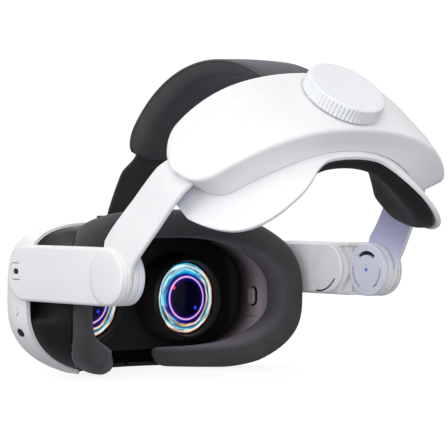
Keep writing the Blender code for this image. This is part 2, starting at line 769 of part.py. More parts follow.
def make_strap_arm(parent, side, sign):
    """A flat bar from the temple pivot that bends inwards into the cradle."""
    half, end = ARM_WIDTH / 2, 76 * MM
    offset_root, offset_end = 3 * MM, -1 * MM
    bends = ((0, 86), (16, 86), (56, 77.9), (66, 72.2), (76, 63.8))

    def outer_x(u):
        u = u / MM
        for (u0, x0), (u1, x1) in zip(bends, bends[1:]):
            if u <= u1:
                return (x0 + (x1 - x0) * max(0, u - u0) / (u1 - u0)) * MM
        return bends[-1][1] * MM

    outline = arc(0, 0, PIVOT_RADIUS, 70, 305, 18)
    outline += [
        (14 * MM, offset_root - half),
        (end, offset_end - half + 4 * MM),
        (end, offset_end + half - 4 * MM),
        (56 * MM, 0.5 * MM + half),
        (10 * MM, offset_root + half),
    ]
    arm = prism(f"strap_arm_{side}", outline, ARM_THICKNESS, "white_shell", parent, Matrix.Identity(4))
    bm = bmesh.new()
    bm.from_mesh(arm.data)
    for u in (16, 24, 40, 56, 61, 66, 71):
        geometry = bm.verts[:] + bm.edges[:] + bm.faces[:]
        bmesh.ops.bisect_plane(bm, geom=geometry, dist=1e-6, plane_co=(u * MM, 0, 0), plane_no=(1, 0, 0))
    for vert in bm.verts:
        u, w, t = vert.co
        vert.co = (sign * (outer_x(u) - ARM_THICKNESS / 2 + t), u, w)
    bmesh.ops.recalc_face_normals(bm, faces=bm.faces)
    bm.to_mesh(arm.data)
    bm.free()
    hole = disc(
        f"arm_hole_{side}",
        PIN_RADIUS + GAP,
        12 * MM,
        None,
        parent,
        place(sign * (ARM_OUTER_X - 1.5 * MM), 0, 0) @ TO_SIDE,
        CUTTERS,
        24,
    )
    cut(arm, hole)
    smooth(arm, 25)


def cradle_stations(half_width, depth, start, power, limit, count):
    """Points and outward normals round the back of the head, from right to left."""
    stations = []
    for i in range(count + 1):
        turn = -limit + 2 * limit * i / count
        s, c = sin(turn), cos(turn)
        x = half_width * abs(s) ** (2 / power) * (1 if s > 0 else -1)
        y = start + depth * abs(c) ** (2 / power)
        nx = abs(x / half_width) ** (power - 1) / half_width * (1 if x > 0 else -1)
        ny = abs((y - start) / depth) ** (power - 1) / depth
        size = hypot(nx, ny)
        stations.append((x, y, nx / size, ny / size, abs(i * 2 / count - 1)))
    return stations


def section_ring(station, points):
    """Places (outward, up) points of a section at a station."""
    x, y, nx, ny, _ = station
    return [Vector((x + nx * d, y + ny * d, w)) for d, w in points]


def make_cradle_shell(parent):
    """The outer cover: a channel open towards the head, whose ends take the arms."""
    rings = []
    wall = CRADLE_WALL
    for station in cradle_stations(CRADLE_HALF_WIDTH, CRADLE_DEPTH, CRADLE_START_Y, 2.3, radians(66), 28):
        taper = max(0.0, (station[4] - 0.45) / 0.55) ** 2
        top = CRADLE_TOP - 8 * MM * taper
        bottom = CRADLE_BOTTOM + 5.5 * MM * taper
        depth = (9.5 - 2.5 * taper) * MM
        crown = 1.2 * MM
        section = (
            (-depth, top),
            (-2.5 * MM, top),
            (-0.6 * MM, top - 1 * MM),
            (0, top - 3.5 * MM),
            (crown, (top + bottom) / 2),
            (0, bottom + 3.5 * MM),
            (-0.6 * MM, bottom + 1 * MM),
            (-2.5 * MM, bottom),
            (-depth, bottom),
            (-depth, bottom + wall),
            (-wall - 1.4 * MM, bottom + wall),
            (-wall, bottom + wall + 2.5 * MM),
            (-wall, top - wall - 2.5 * MM),
            (-wall - 1.4 * MM, top - wall),
            (-depth, top - wall),
        )
        rings.append(section_ring(station, section))
    shell = loft("cradle_shell", rings, "white_shell", parent)
    seat = disc(
        "knob_seat",
        KNOB_RADIUS + 0.6 * MM,
        4 * MM,
        None,
        parent,
        place(0, 107 * MM - 0.2 * MM, 0) @ TO_REAR,
        CUTTERS,
        48,
    )
    cut(shell, seat)
    hole = disc("shaft_hole", 3.4 * MM, 20 * MM, None, parent, place(0, 104 * MM, 0) @ TO_REAR, CUTTERS, 24)
    cut(shell, hole)


LOBE_PATH = (
    (0, -25.5),
    (18, -26),
    (31, -35),
    (46, -42.5),
    (56, -43),
    (63, -38.5),
    (69, -26),
    (72, -12),
    (80, -8),
)


def lobe_bottom(reach):
    """The backing plate's lower edge: two lobes beside a raised middle. reach is the side offset."""
    reach = reach / MM
    for (x0, w0), (x1, w1) in zip(LOBE_PATH, LOBE_PATH[1:]):
        if reach <= x1:
            t = (reach - x0) / (x1 - x0)
            t = t * t * (3 - 2 * t) if x0 in (0, 18, 46) else t
            return (w0 + (w1 - w0) * t) * MM
    return LOBE_PATH[-1][1] * MM


def plate_ring(station, near, far, inset):
    """A rounded section of the backing plate or its pad, between two offsets from the plate's face."""
    end = max(0.0, (station[4] - 0.8) / 0.2)
    top = 21 * MM - inset - 10 * MM * end**2
    bottom = lobe_bottom(abs(station[0])) + inset + 3 * MM * end**2
    soft = min(abs(far - near) * 0.4, 2.5 * MM)
    middle = (top + bottom) / 2
    points = (
        (far, top - soft),
        (far + (near - far) * 0.3, top),
        (near, top - soft * 0.4),
        (near, middle + (top - middle) * 0.4),
        (near, middle - (middle - bottom) * 0.4),
        (near, bottom + soft * 0.4),
        (far + (near - far) * 0.3, bottom),
        (far, bottom + soft),
        (far, middle - (middle - bottom) * 0.4),
        (far, middle + (top - middle) * 0.4),
    )
    return section_ring(station, points)


def make_cradle_backing(parent):
    """The stiff plate with two lobes that carries the rear pad."""
    stations = cradle_stations(PLATE_HALF_WIDTH, PLATE_DEPTH, PLATE_START_Y, 2, radians(66), 30)
    rings = [plate_ring(s, 0, -PLATE_THICKNESS, 0) for s in stations]
    loft("cradle_backing", rings, "white_shell", parent)


def make_rear_pad(parent):
    """The soft pad inside the backing plate."""
    stations = cradle_stations(PLATE_HALF_WIDTH, PLATE_DEPTH, PLATE_START_Y, 2, radians(63), 30)
    near, far = -PLATE_THICKNESS - GAP, -PLATE_THICKNESS - 8 * MM
    rings = [plate_ring(s, near, far, 3 * MM) for s in stations]
    loft("rear_pad", rings, "black_leather", parent)


def make_knob(parent):
    """The ribbed adjuster knob with its shaft, and the pinion that drives the two racks."""
    holder = empty("knob_axis", parent)
    base, face = 105.6 * MM, KNOB_FACE_Y
    outline = []
    for i in range(2 * RIBS):
        radius = KNOB_RADIUS - (0.55 * MM if i % 2 else 0)
        outline.append((radius * cos(pi * i / RIBS), radius * sin(pi * i / RIBS)))
    rim = face - 0.8 * MM
    spot = place(0, (base + rim) / 2, 0) @ TO_REAR
    knob = prism("adjuster_knob", outline, rim - base, "white_shell", holder, spot)
    crown = disc(
        "knob_crown",
        KNOB_RADIUS - 0.3 * MM,
        1 * MM,
        None,
        holder,
        place(0, face - 0.5 * MM, 0) @ TO_REAR,
        CUTTERS,
        48,
        KNOB_RADIUS - 1.3 * MM,
    )
    join(knob, crown)
    spot = place(0, 99.8 * MM, 0) @ TO_REAR
    shaft = disc("pinion_shaft", 3 * MM, 11 * MM, "metal", holder, spot, None, 24)
    teeth = 12
    outline = []
    for i in range(4 * teeth):
        radius = PINION_RADIUS - (0 if i % 4 < 2 else 1.1 * MM)
        outline.append((radius * cos(pi * i / (2 * teeth)), radius * sin(pi * i / (2 * teeth))))
    gear = prism("pinion_teeth", outline, 3 * MM, None, holder, place(0, 96 * MM, 0) @ TO_REAR, CUTTERS)
    join(shaft, gear)


def make_rack(parent, side, sign):
    """A toothed bar that the pinion moves sideways."""
    low_x, high_x = -12 * MM, 27 * MM
    pitch = 3 * MM
    teeth = int((high_x - low_x) / pitch)
    outline = [(high_x, 4 * MM), (low_x, 4 * MM)]
    for i in range(teeth):
        x = low_x + i * pitch
        outline += [(x, 0.8 * MM), (x + 0.4 * pitch, 0), (x + 0.7 * pitch, 0)]
    outline.append((high_x, 0.8 * MM))
    outline = [(x * sign, (y + PINION_RADIUS + GAP) * sign) for x, y in outline]
    spot = place(0, 96 * MM, 0) @ Matrix.Rotation(pi / 2, 4, "X")
    prism(f"rack_{side}", outline, 2 * MM, "white_soft", parent, spot)


def make_top_pad(parent):
    """The padded top strap that runs from the cradle over the crown."""
    rings = []
    count = 22
    first, last = radians(4.5), radians(102)
    for i in range(count + 1):
        turn = first + (last - first) * i / count
        ending = max(0.0, (i - count + 3) / 3)
        half = PAD_WIDTH / 2 * (1 - 0.45 * ending**2)
        thick = PAD_THICKNESS * (1 - 0.25 * ending**2)
        outer, inner = PAD_OUTER_RADIUS, PAD_OUTER_RADIUS - thick
        soft = 2.5 * MM
        section = (
            (half - soft, outer),
            (half, outer - soft),
            (half, inner + soft),
            (half - soft, inner),
            (-half + soft, inner),
            (-half, inner + soft),
            (-half, outer - soft),
            (-half + soft, outer),
        )
        rings.append([PAD_CENTRE + Vector((x, r * cos(turn), r * sin(turn))) for x, r in section])
    loft("top_pad", rings, "black_leather", parent)


def make_pad_anchor(parent):
    """The clip that holds the top pad to the backing plate."""
    low = (-12 * MM, 81.5 * MM, 21.4 * MM)
    high = (12 * MM, 84.6 * MM, 34 * MM)
    bevel(box("pad_anchor_clip", low, high, "white_soft", parent), 0.8 * MM)


def make_webbing(parent):
    """The thin strap from the visor's top up to the front end of the top pad."""
    path = ((-8.5, 41.9), (-8.2, 45), (-5.8, 50), (-1.6, 57.5), (3.6, 65.6), (9.7, 73.6))
    half, thick = WEBBING_WIDTH / 2, 1.6 * MM
    rings = []
    for i, (y, z) in enumerate(path):
        y0, z0 = path[max(0, i - 1)]
        y1, z1 = path[min(len(path) - 1, i + 1)]
        size = hypot(y1 - y0, z1 - z0)
        ny, nz = -(z1 - z0) / size, (y1 - y0) / size
        corners = ((half, 0.5), (-half, 0.5), (-half, -0.5), (half, -0.5))
        rings.append([Vector((x, y * MM + ny * thick * k, z * MM + nz * thick * k)) for x, k in corners])
    loft("top_webbing", rings, "black_webbing", parent)


# ---------------------------------------------------------------- assembly


def build():
    optical = empty("optical_centre", location=OPTICAL_CENTRE)
    shell = make_front_shell(optical)
    make_windows(optical, shell)
    make_side_cameras(optical, shell)
    make_visor_buttons(optical, shell)
    make_rear_housing(optical)
    make_optics(optical)
    make_electronics(optical)
    make_ipd_wheel(optical, shell)
    make_strap_anchor(optical)
    make_webbing(optical)
    frame = make_interface_frame(optical)
    make_face_cushion(optical)
    make_release_buttons(optical, frame)
    left_temple = make_temple(optical, "left", 1)
    make_temple(optical, "right", -1)
    make_charging_port(optical, left_temple)
    strap = empty("strap_tilt_axis", optical, PIVOT, STRAP_TILT)
    for side, sign in (("left", 1), ("right", -1)):
        make_strap_arm(strap, side, sign)
        make_rack(strap, side, sign)
    make_cradle_shell(strap)
    make_cradle_backing(strap)
    make_rear_pad(strap)
    make_knob(strap)
    make_top_pad(strap)
    make_pad_anchor(strap)


for leftover in list(bpy.data.objects):
    bpy.data.objects.remove(leftover)
PARTS = collection("vr_headset")
CUTTERS = collection("cutters")
build()
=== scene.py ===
"""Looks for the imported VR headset: shells, pads, lenses and finishes around the CAD frame.

Lengths are in metres. +X is the wearer's left, +Y the wearer's rear and +Z is up. The visor is drawn from the
optical centre, midway between the lenses. The head strap is drawn from the temple pivots, in a frame tilted up with
the strap: there +Y runs from the pivots to the back of the head and +Z towards the crown.
"""

from math import atan2, cos, hypot, pi, radians, sin, tan

import bmesh
import bpy
from mathutils import Matrix, Vector


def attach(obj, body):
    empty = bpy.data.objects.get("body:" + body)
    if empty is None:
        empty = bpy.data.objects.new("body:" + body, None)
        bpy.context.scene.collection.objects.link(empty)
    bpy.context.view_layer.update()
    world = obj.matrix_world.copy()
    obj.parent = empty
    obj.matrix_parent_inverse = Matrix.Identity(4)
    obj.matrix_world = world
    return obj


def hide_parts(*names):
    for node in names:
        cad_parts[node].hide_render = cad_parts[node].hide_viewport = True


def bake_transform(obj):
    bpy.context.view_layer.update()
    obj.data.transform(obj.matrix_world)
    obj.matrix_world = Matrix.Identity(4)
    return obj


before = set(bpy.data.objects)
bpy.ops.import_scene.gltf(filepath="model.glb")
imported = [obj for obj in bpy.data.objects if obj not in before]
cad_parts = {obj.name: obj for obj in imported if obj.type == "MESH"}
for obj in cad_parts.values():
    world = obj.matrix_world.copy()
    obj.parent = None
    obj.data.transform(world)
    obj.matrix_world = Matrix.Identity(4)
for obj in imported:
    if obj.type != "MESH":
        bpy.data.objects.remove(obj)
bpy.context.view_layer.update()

MM = 0.001
OPTICAL_CENTRE = Vector((0, 21, 36)) * MM
PIVOT = OPTICAL_CENTRE + Vector((0, 90.9, 16.8)) * MM
REST_Z = -OPTICAL_CENTRE.z
OPTICAL = Matrix.Translation(OPTICAL_CENTRE)
STRAP = Matrix.Translation(PIVOT) @ Matrix.Rotation(radians(52), 4, "X")
TO_SIDE = Matrix.Rotation(pi / 2, 4, "Y") @ Matrix.Rotation(pi / 2, 4, "Z")
TO_REAR = Matrix.Rotation(-pi / 2, 4, "X")
SIDES = (("left", 1), ("right", -1))

IPD = 64 * MM
LENS_RADIUS = 19.4 * MM

VISOR_HALF_WIDTH = 83.5 * MM
VISOR_TOP = 41.5 * MM
VISOR_BOTTOM = -41 * MM
VISOR_REAR_Y = 2 * MM
VISOR_FRONT_Y = -43 * MM
VISOR_BOW = 14 * MM
VISOR_ROUNDNESS = 2.7
VISOR_POWERS = (4.4, 2.3)
VISOR_SEGMENTS = 120

PIVOT_RADIUS = 13.6 * MM
TEMPLE_OUTER_X = 88.5 * MM
TEMPLE_INNER_X = 78.4 * MM
TEMPLE_FRONT_Y = 6 * MM
TEMPLE_HEIGHT = 27.6 * MM

ARM_OUTER_X = 86 * MM
ARM_THICKNESS = 3 * MM
ARM_WIDTH = 24.3 * MM

CRADLE_HALF_WIDTH = 86 * MM
CRADLE_DEPTH = 76 * MM
CRADLE_START_Y = 29 * MM
PLATE_HALF_WIDTH = 77 * MM
PLATE_DEPTH = 79 * MM
PLATE_START_Y = 13 * MM
PLATE_THICKNESS = 2.4 * MM

KNOB_RADIUS = 19.9 * MM
KNOB_BASE_Y = 105.6 * MM
KNOB_FACE_Y = 113.4 * MM
KNOB_RIBS = 60

PAD_CENTRE = Vector((0, 13, 20)) * MM
PAD_OUTER_RADIUS = 83 * MM
PAD_THICKNESS = 9 * MM
PAD_WIDTH = 37 * MM
WEBBING_WIDTH = 32 * MM


# ---------------------------------------------------------------- node materials

GRAIN_SCALE, GRAIN_DEPTH = 3200, 0.03 * MM
FACE_RISE = 3 * MM


def material(name, roughness, metallic=0.0, **sockets):
    """Makes a material whose uniform values sit on the shader's own sockets."""
    made = bpy.data.materials.new(name)
    made.use_nodes = True
    shader = made.node_tree.nodes["Principled BSDF"]
    shader.inputs["Roughness"].default_value = roughness
    shader.inputs["Metallic"].default_value = metallic
    for socket, value in sockets.items():
        shader.inputs[socket.replace("_", " ")].default_value = value
    return made, made.node_tree, shader


def axes(tree, space="Object"):
    """The X, Y and Z of each point of the part, as outputs to link from."""
    coordinates = tree.nodes.new("ShaderNodeTexCoord")
    parts = tree.nodes.new("ShaderNodeSeparateXYZ")
    tree.links.new(coordinates.outputs[space], parts.inputs["Vector"])
    return parts.outputs


def texture(tree, kind, output="Fac", mapping=None, **values):
    """Adds a texture over the part's own coordinates, turned or stretched by mapping, a (socket, value)."""
    source = tree.nodes.new("ShaderNodeTexCoord").outputs["Object"]
    if mapping:
        mapped = tree.nodes.new("ShaderNodeMapping")
        mapped.inputs[mapping[0]].default_value = mapping[1]
        tree.links.new(source, mapped.inputs["Vector"])
        source = mapped.outputs["Vector"]
    made = tree.nodes.new(f"ShaderNodeTex{kind}")
    for socket, value in values.items():
        made.inputs[socket].default_value = value
    tree.links.new(source, made.inputs["Vector"])
    return made.outputs[output]


def noise(tree, scale, detail=3.0, distortion=0.0):
    return texture(tree, "Noise", Scale=scale, Detail=detail, Distortion=distortion)


def ramp(tree, value, stops, mode="LINEAR"):
    """Maps a value to colours. stops are (position, (r, g, b))."""
    made = tree.nodes.new("ShaderNodeValToRGB")
    made.color_ramp.interpolation = mode
    elements = made.color_ramp.elements
    while len(elements) > 1:
        elements.remove(elements[-1])
    for i, (position, colour) in enumerate(stops):
        element = elements[0] if i == 0 else elements.new(position)
        element.position = position
        element.color = (*colour, 1)
    tree.links.new(value, made.inputs["Fac"])
    return made.outputs["Color"]


def paint(tree, shader, value, stops):
    """Colours a shader by a value."""
    tree.links.new(ramp(tree, value, stops), shader.inputs["Base Color"])


def bump(tree, shader, height, depth, strength=0.5, before=None):
    """Adds a bump of a real depth in metres."""
    made = tree.nodes.new("ShaderNodeBump")
    made.inputs["Strength"].default_value = strength
    made.inputs["Distance"].default_value = depth
    tree.links.new(height, made.inputs["Height"])
    if before:
        tree.links.new(before, made.inputs["Normal"])
    tree.links.new(made.outputs["Normal"], shader.inputs["Normal"])
    return made.outputs["Normal"]


def remap(tree, value, start, end, low=0.0, high=1.0, smooth=False):
    """Maps a value from one range of numbers to another."""
    made = tree.nodes.new("ShaderNodeMapRange")
    if smooth:
        made.interpolation_type = "SMOOTHSTEP"
    for socket, number in zip(("From Min", "From Max", "To Min", "To Max"), (start, end, low, high)):
        made.inputs[socket].default_value = number
    tree.links.new(value, made.inputs["Value"])
    return made.outputs["Result"]


def uneven_gloss(tree, shader, value, low, high):
    """Varies the roughness with a noise value."""
    tree.links.new(remap(tree, value, 0.3, 0.7, low, high), shader.inputs["Roughness"])


def maths(tree, operation, first, second=None):
    """Adds a maths node. Each operand is a number or another node's output."""
    node = tree.nodes.new("ShaderNodeMath")
    node.operation = operation
    for i, value in enumerate((first, second)):
        if isinstance(value, (int, float)):
            node.inputs[i].default_value = value
        elif value is not None:
            tree.links.new(value, node.inputs[i])
    return node.outputs["Value"]


def mix_colours(tree, share, first, second, blend="MIX"):
    """Mixes two colours. The share and the second colour may be plain values."""
    mix = tree.nodes.new("ShaderNodeMix")
    mix.data_type = "RGBA"
    mix.blend_type = blend
    tree.links.new(first, mix.inputs["A"])
    if isinstance(share, float):
        mix.inputs["Factor"].default_value = share
    else:
        tree.links.new(share, mix.inputs["Factor"])
    if isinstance(second, tuple):
        mix.inputs["B"].default_value = (*second, 1)
    else:
        tree.links.new(second, mix.inputs["B"])
    return mix.outputs["Result"]


def tones(colour, amount):
    """A darker and a lighter tone of one colour."""
    return [tuple(min(1, c * k) for c in colour) for k in (1 - amount, 1 + amount)]


def grain(tree, shader, depth=GRAIN_DEPTH):
    """The fine spark-eroded grain of a mould."""
    bump(tree, shader, noise(tree, GRAIN_SCALE, 2), depth)


def moulded_plastic(name, colour, roughness, depth=GRAIN_DEPTH, variation=0.02, **sockets):
    """Moulded plastic: a fine grain, faint flow marks and an uneven gloss."""
    made, tree, shader = material(name, roughness, **sockets)
    dark, light = tones(colour, variation)
    paint(tree, shader, noise(tree, 22, 2, 0.4), [(0.35, dark), (0.65, light)])
    uneven_gloss(tree, shader, noise(tree, 90, 4), roughness - 0.05, roughness + 0.06)
    grain(tree, shader, depth)
    return made


def plastic_with_painted_shade_gradient(name, roughness, axis, start, end, stops):
    """Moulded plastic whose colour changes along an axis, between two places in metres, as a painted shade
    gradient.
    """
    made, tree, shader = material(name, roughness)
    paint(tree, shader, remap(tree, axes(tree)[axis], start, end), stops)
    grain(tree, shader)
    return made


def weave_height(tree, pitch, turn):
    """Bands of thread at a pitch in metres, along a turned direction."""
    return texture(tree, "Wave", mapping=("Rotation", turn), Scale=0.314 / pitch, Distortion=0.6, Detail=1.0)


def cloth(name, colour, pitch, roughness=0.85, variation=0.15, depth=0.12 * MM, lining=None, **sockets):
    """A fine knit over foam: crossed threads, soft colour patches and sheen. lining is a second, lighter colour of
    painted purple sheen that shows on the faces turned to the middle of the face opening."""
    made, tree, shader = material(name, roughness, **sockets)
    across = weave_height(tree, pitch, (0.3, 0.2, 0.785))
    along = weave_height(tree, pitch, (0.3, -0.2, -0.785))
    threads = maths(tree, "MULTIPLY", across, along)
    dark, light = tones(colour, variation)
    soft = noise(tree, 60, 4, 0.5)
    base = ramp(tree, soft, [(0.3, dark), (0.7, light)])
    # The lining colour is painted sheen, mixed in by the opening mask.
    if lining:
        base = mix_colours(tree, opening(tree), base, lining)
    thread = ramp(tree, threads, [(0.0, (0.85, 0.85, 0.85)), (1.0, (1.0, 1.0, 1.0))])
    tree.links.new(mix_colours(tree, 1.0, base, thread, "MULTIPLY"), shader.inputs["Base Color"])
    first = bump(tree, shader, threads, depth, 0.3)
    bump(tree, shader, soft, 0.4 * MM, 0.2, first)
    return made


def opening(tree):
    """1 inside the face opening and 0 outside its crest, blended softly, from the part's own coordinates: the mask
    of the painted sheen on the cushion's inner faces.
    """
    parts = axes(tree)
    height = maths(tree, "SUBTRACT", parts["Z"], OPTICAL_CENTRE.z + FACE_RISE)
    total = None
    for value, half in ((parts["X"], 62.5 * MM), (height, 31 * MM)):
        share = maths(tree, "ABSOLUTE", maths(tree, "DIVIDE", value, half))
        cubed = maths(tree, "POWER", share, 3.0)
        total = maths(tree, "ADD", total, cubed) if total else cubed
    return remap(tree, total, 0.45, 1.1, 1.0, 0.0, smooth=True)


def soft_leather(name, colour, roughness=0.5, **sockets):
    """Soft coated leather: a pebbled grain with fine creases."""
    made, tree, shader = material(name, roughness, **sockets)
    dark, light = tones(colour, 0.15)
    patches = noise(tree, 45, 4, 0.4)
    paint(tree, shader, patches, [(0.3, dark), (0.7, light)])
    uneven_gloss(tree, shader, patches, roughness - 0.07, roughness + 0.07)
    first = bump(tree, shader, texture(tree, "Voronoi", "Distance", Scale=1500), 0.08 * MM, 0.35)
    bump(tree, shader, patches, 0.6 * MM, 0.25, first)
    return made


def brushed_metal(name, colour, roughness=0.3):
    """Machined metal with fine scratches along one direction."""
    made, tree, shader = material(name, roughness, 1.0)
    scratches = texture(tree, "Noise", mapping=("Scale", (1, 1, 30)), Scale=400)
    dark, light = tones(colour, 0.08)
    paint(tree, shader, scratches, [(0.3, dark), (0.7, light)])
    uneven_gloss(tree, shader, scratches, roughness - 0.1, roughness + 0.1)
    return made


def circuit_board(name):
    """Green solder mask with darker traces."""
    made, tree, shader = material(name, 0.45)
    traces = texture(tree, "Voronoi", "Distance", Scale=300)
    traces.node.distance = "CHEBYCHEV"
    stops = [(0.0, (0.01, 0.05, 0.02)), (0.35, (0.02, 0.11, 0.05)), (0.6, (0.04, 0.16, 0.07))]
    paint(tree, shader, traces, stops)
    return made


# Colours of the painted lens reflections, which the lens material emits as a glow.
LENS_BLACK, LENS_NAVY, LENS_CYAN = (0.0, 0.0, 0.002), (0.004, 0.002, 0.10), (0.03, 0.60, 0.85)
LENS_PALE, LENS_AMBER, LENS_CREAM = (0.60, 0.90, 1.0), (0.95, 0.50, 0.12), (1.0, 0.93, 0.70)
LENS_COOL = [
    (0.0, LENS_BLACK), (0.58, LENS_BLACK), (0.63, LENS_NAVY), (0.67, (0.01, 0.04, 0.50)),
    (0.71, (0.02, 0.30, 0.75)), (0.75, LENS_CYAN), (0.81, LENS_PALE), (0.85, LENS_CYAN),
    (0.89, (1.0, 1.0, 1.0)), (0.93, LENS_PALE), (0.96, LENS_CYAN), (0.99, LENS_NAVY),
]
LENS_WARM = [
    (0.0, LENS_BLACK), (0.58, LENS_BLACK), (0.64, LENS_NAVY), (0.71, (0.01, 0.01, 0.30)),
    (0.735, LENS_AMBER), (0.765, LENS_CREAM), (0.80, LENS_NAVY), (0.85, (0.05, 0.45, 0.60)),
    (0.88, LENS_PALE), (0.91, (1.0, 1.0, 1.0)), (0.94, LENS_AMBER), (0.97, LENS_NAVY),
]
LENS_RING = [
    (0.0, LENS_BLACK), (0.47, LENS_BLACK), (0.555, (0.01, 0.004, 0.16)), (0.575, (0.9, 0.35, 0.62)),
    (0.590, (1.0, 0.78, 0.95)), (0.605, (0.35, 0.12, 0.75)), (0.63, LENS_BLACK),
]
LENS_DOTS = (((8.8, 5.9), 1.5, (1.0, 0.06, 0.03)), ((-5.6, -5.2), 1.3, (0.02, 0.06, 1.0)))


def painted_lens_reflections(name):
    """Coated optics drawn as painted reflections that glow: broken rings of reflected colour round a dark centre,
    cool above and warm below, and two coloured dots.
    """
    made, tree, shader = material(
        name, 0.2, Coat_Weight=0.12, Coat_Roughness=0.05, Specular_IOR_Level=0.12, Emission_Strength=1.0
    )

    def calc(operation, first, second=None):
        return maths(tree, operation, first, second)

    def reach(x, z):
        return calc("SQRT", calc("ADD", calc("MULTIPLY", x, x), calc("MULTIPLY", z, z)))

    parts = axes(tree)
    x = calc("DIVIDE", parts["X"], LENS_RADIUS)
    z = calc("DIVIDE", parts["Z"], LENS_RADIUS)
    radius, turn = reach(x, z), calc("ARCTAN2", z, x)

    def streaks(round_scale, radial_scale, detail):
        """Noise drawn out into arcs round the lens."""
        spot = tree.nodes.new("ShaderNodeCombineXYZ")
        tree.links.new(calc("MULTIPLY", calc("COSINE", turn), round_scale), spot.inputs["X"])
        tree.links.new(calc("MULTIPLY", calc("SINE", turn), round_scale), spot.inputs["Y"])
        tree.links.new(calc("MULTIPLY", radius, radial_scale), spot.inputs["Z"])
        made_noise = tree.nodes.new("ShaderNodeTexNoise")
        made_noise.inputs["Scale"].default_value = 1.0
        made_noise.inputs["Detail"].default_value = detail
        tree.links.new(spot.outputs["Vector"], made_noise.inputs["Vector"])
        return calc("SUBTRACT", made_noise.outputs["Fac"], 0.5)

    patches, lines = streaks(1.5, 5, 2), streaks(2.0, 30, 3)
    shifted = calc("ADD", radius, calc("MULTIPLY", patches, 0.13))
    side = calc("ADD", calc("SINE", calc("ADD", turn, 0.7)), calc("MULTIPLY", patches, 5.0))
    share = remap(tree, side, -0.2, 0.6, smooth=True)
    rings = mix_colours(tree, share, ramp(tree, shifted, LENS_WARM), ramp(tree, shifted, LENS_COOL))
    broken = remap(tree, lines, -0.16, 0.08, 0.12, 1.15)
    grey = tree.nodes.new("ShaderNodeCombineXYZ")
    for axis in "XYZ":
        tree.links.new(broken, grey.inputs[axis])
    rings = mix_colours(tree, 1.0, rings, grey.outputs["Vector"], "MULTIPLY")
    total = mix_colours(tree, 1.0, rings, ramp(tree, radius, LENS_RING), "ADD")
    for (dot_x, dot_z), size, colour in LENS_DOTS:
        away = reach(calc("SUBTRACT", parts["X"], dot_x * MM), calc("SUBTRACT", parts["Z"], dot_z * MM))
        near = calc("DIVIDE", away, size * MM)
        dot = ramp(tree, near, [(0.0, colour), (0.4, colour), (1.0, LENS_BLACK)], "EASE")
        total = mix_colours(tree, 1.0, total, dot, "ADD")
    edge = ramp(tree, radius, [(0.0, (1, 1, 1)), (0.965, (1, 1, 1)), (0.995, LENS_BLACK)])
    total = mix_colours(tree, 1.0, total, edge, "MULTIPLY")
    tree.links.new(total, shader.inputs["Emission Color"])
    shader.inputs["Base Color"].default_value = (0.001, 0.001, 0.003, 1)
    return made


WHITE = moulded_plastic("white_moulded", (0.81, 0.815, 0.82), 0.38, Specular_IOR_Level=0.4)
WHITE_ARM = moulded_plastic("white_arm", (0.785, 0.79, 0.795), 0.42, Specular_IOR_Level=0.35)
WHITE_KNOB = moulded_plastic("white_knob", (0.79, 0.80, 0.82), 0.45, Specular_IOR_Level=0.35)
PALE = moulded_plastic("pale_cover", (0.84, 0.85, 0.87), 0.3, Specular_IOR_Level=0.5)
# Painted shade: a bluish lavender tone on the pivot retainer discs, which face inwards into the shade.
LAVENDER_PAINTED_SHADE = moulded_plastic("pale_lavender_painted_shade", (0.74, 0.75, 0.86), 0.4)
# Painted shade: the strap arms' inner faces turn lavender-blue and darken towards the top, where shade falls near
# the cradle.
INNER_FACE_PAINTED_SHADE = plastic_with_painted_shade_gradient(
    "white_inner_face_painted_shade", 0.42, "Z", 45 * MM, 105 * MM,
    [(0.0, (0.80, 0.81, 0.88)), (0.35, (0.52, 0.53, 0.72)), (1.0, (0.15, 0.15, 0.36))],
)
BLACK = moulded_plastic("black_moulded", (0.007, 0.007, 0.007), 0.5, variation=0.1, Specular_IOR_Level=0.2)
BLACK_GLOSSY = moulded_plastic("black_satin", (0.008, 0.008, 0.009), 0.28, variation=0.1)
# Painted shade: the tunnel's inner side walls fade from a warm grey at the rear to near black deeper inside.
WARM_WALL_PAINTED_SHADE = plastic_with_painted_shade_gradient(
    "inner_wall_painted_shade", 0.5, "Y", OPTICAL_CENTRE.y - 7 * MM, OPTICAL_CENTRE.y + 9 * MM,
    [(0.0, (0.012, 0.011, 0.012)), (0.35, (0.11, 0.09, 0.10)), (1.0, (0.58, 0.49, 0.56))],
)
# Painted shade: a near-black for slots, grooves and gaps where shade falls.
PAINTED_SHADE_DARK = moulded_plastic("painted_shade_dark", (0.01, 0.01, 0.014), 0.7)
BLUE_MARK = moulded_plastic("blue_mark", (0.08, 0.25, 0.75), 0.4)
GLASS = moulded_plastic(
    "window_glass", (0.006, 0.006, 0.01), 0.07, 0.002 * MM, Coat_Weight=1.0, Coat_Roughness=0.03
)
# Painted sheen: the foam's lining colour lightens the faces inside the face opening and tints them purple.
FOAM_PAINTED_SHEEN = cloth(
    "foam_cover_painted_sheen", (0.050, 0.050, 0.053), 0.35 * MM, 0.8, lining=(0.33, 0.275, 0.36), Sheen_Weight=0.12,
    Sheen_Roughness=0.45, Sheen_Tint=(0.5, 0.5, 0.58, 1),
)
PAD_CLOTH = cloth(
    "pad_cover", (0.056, 0.056, 0.060), 0.4 * MM, 0.7, Sheen_Weight=0.16, Sheen_Roughness=0.4,
    Sheen_Tint=(0.4, 0.42, 0.62, 1),
)
LEATHER = soft_leather("rear_pad_cover", (0.010, 0.010, 0.011), 0.55, Specular_IOR_Level=0.3)
WEBBING = cloth("webbing", (0.036, 0.036, 0.037), 1.2 * MM, 0.8, 0.1, 0.3 * MM)
PIPING = cloth("piping", (0.09, 0.09, 0.088), 0.8 * MM, 0.7)
METAL = brushed_metal("machined_metal", (0.62, 0.62, 0.64))
BOARD = circuit_board("board_mask")
LENS_PAINTED_REFLECTION = painted_lens_reflections("lens_painted_reflections")


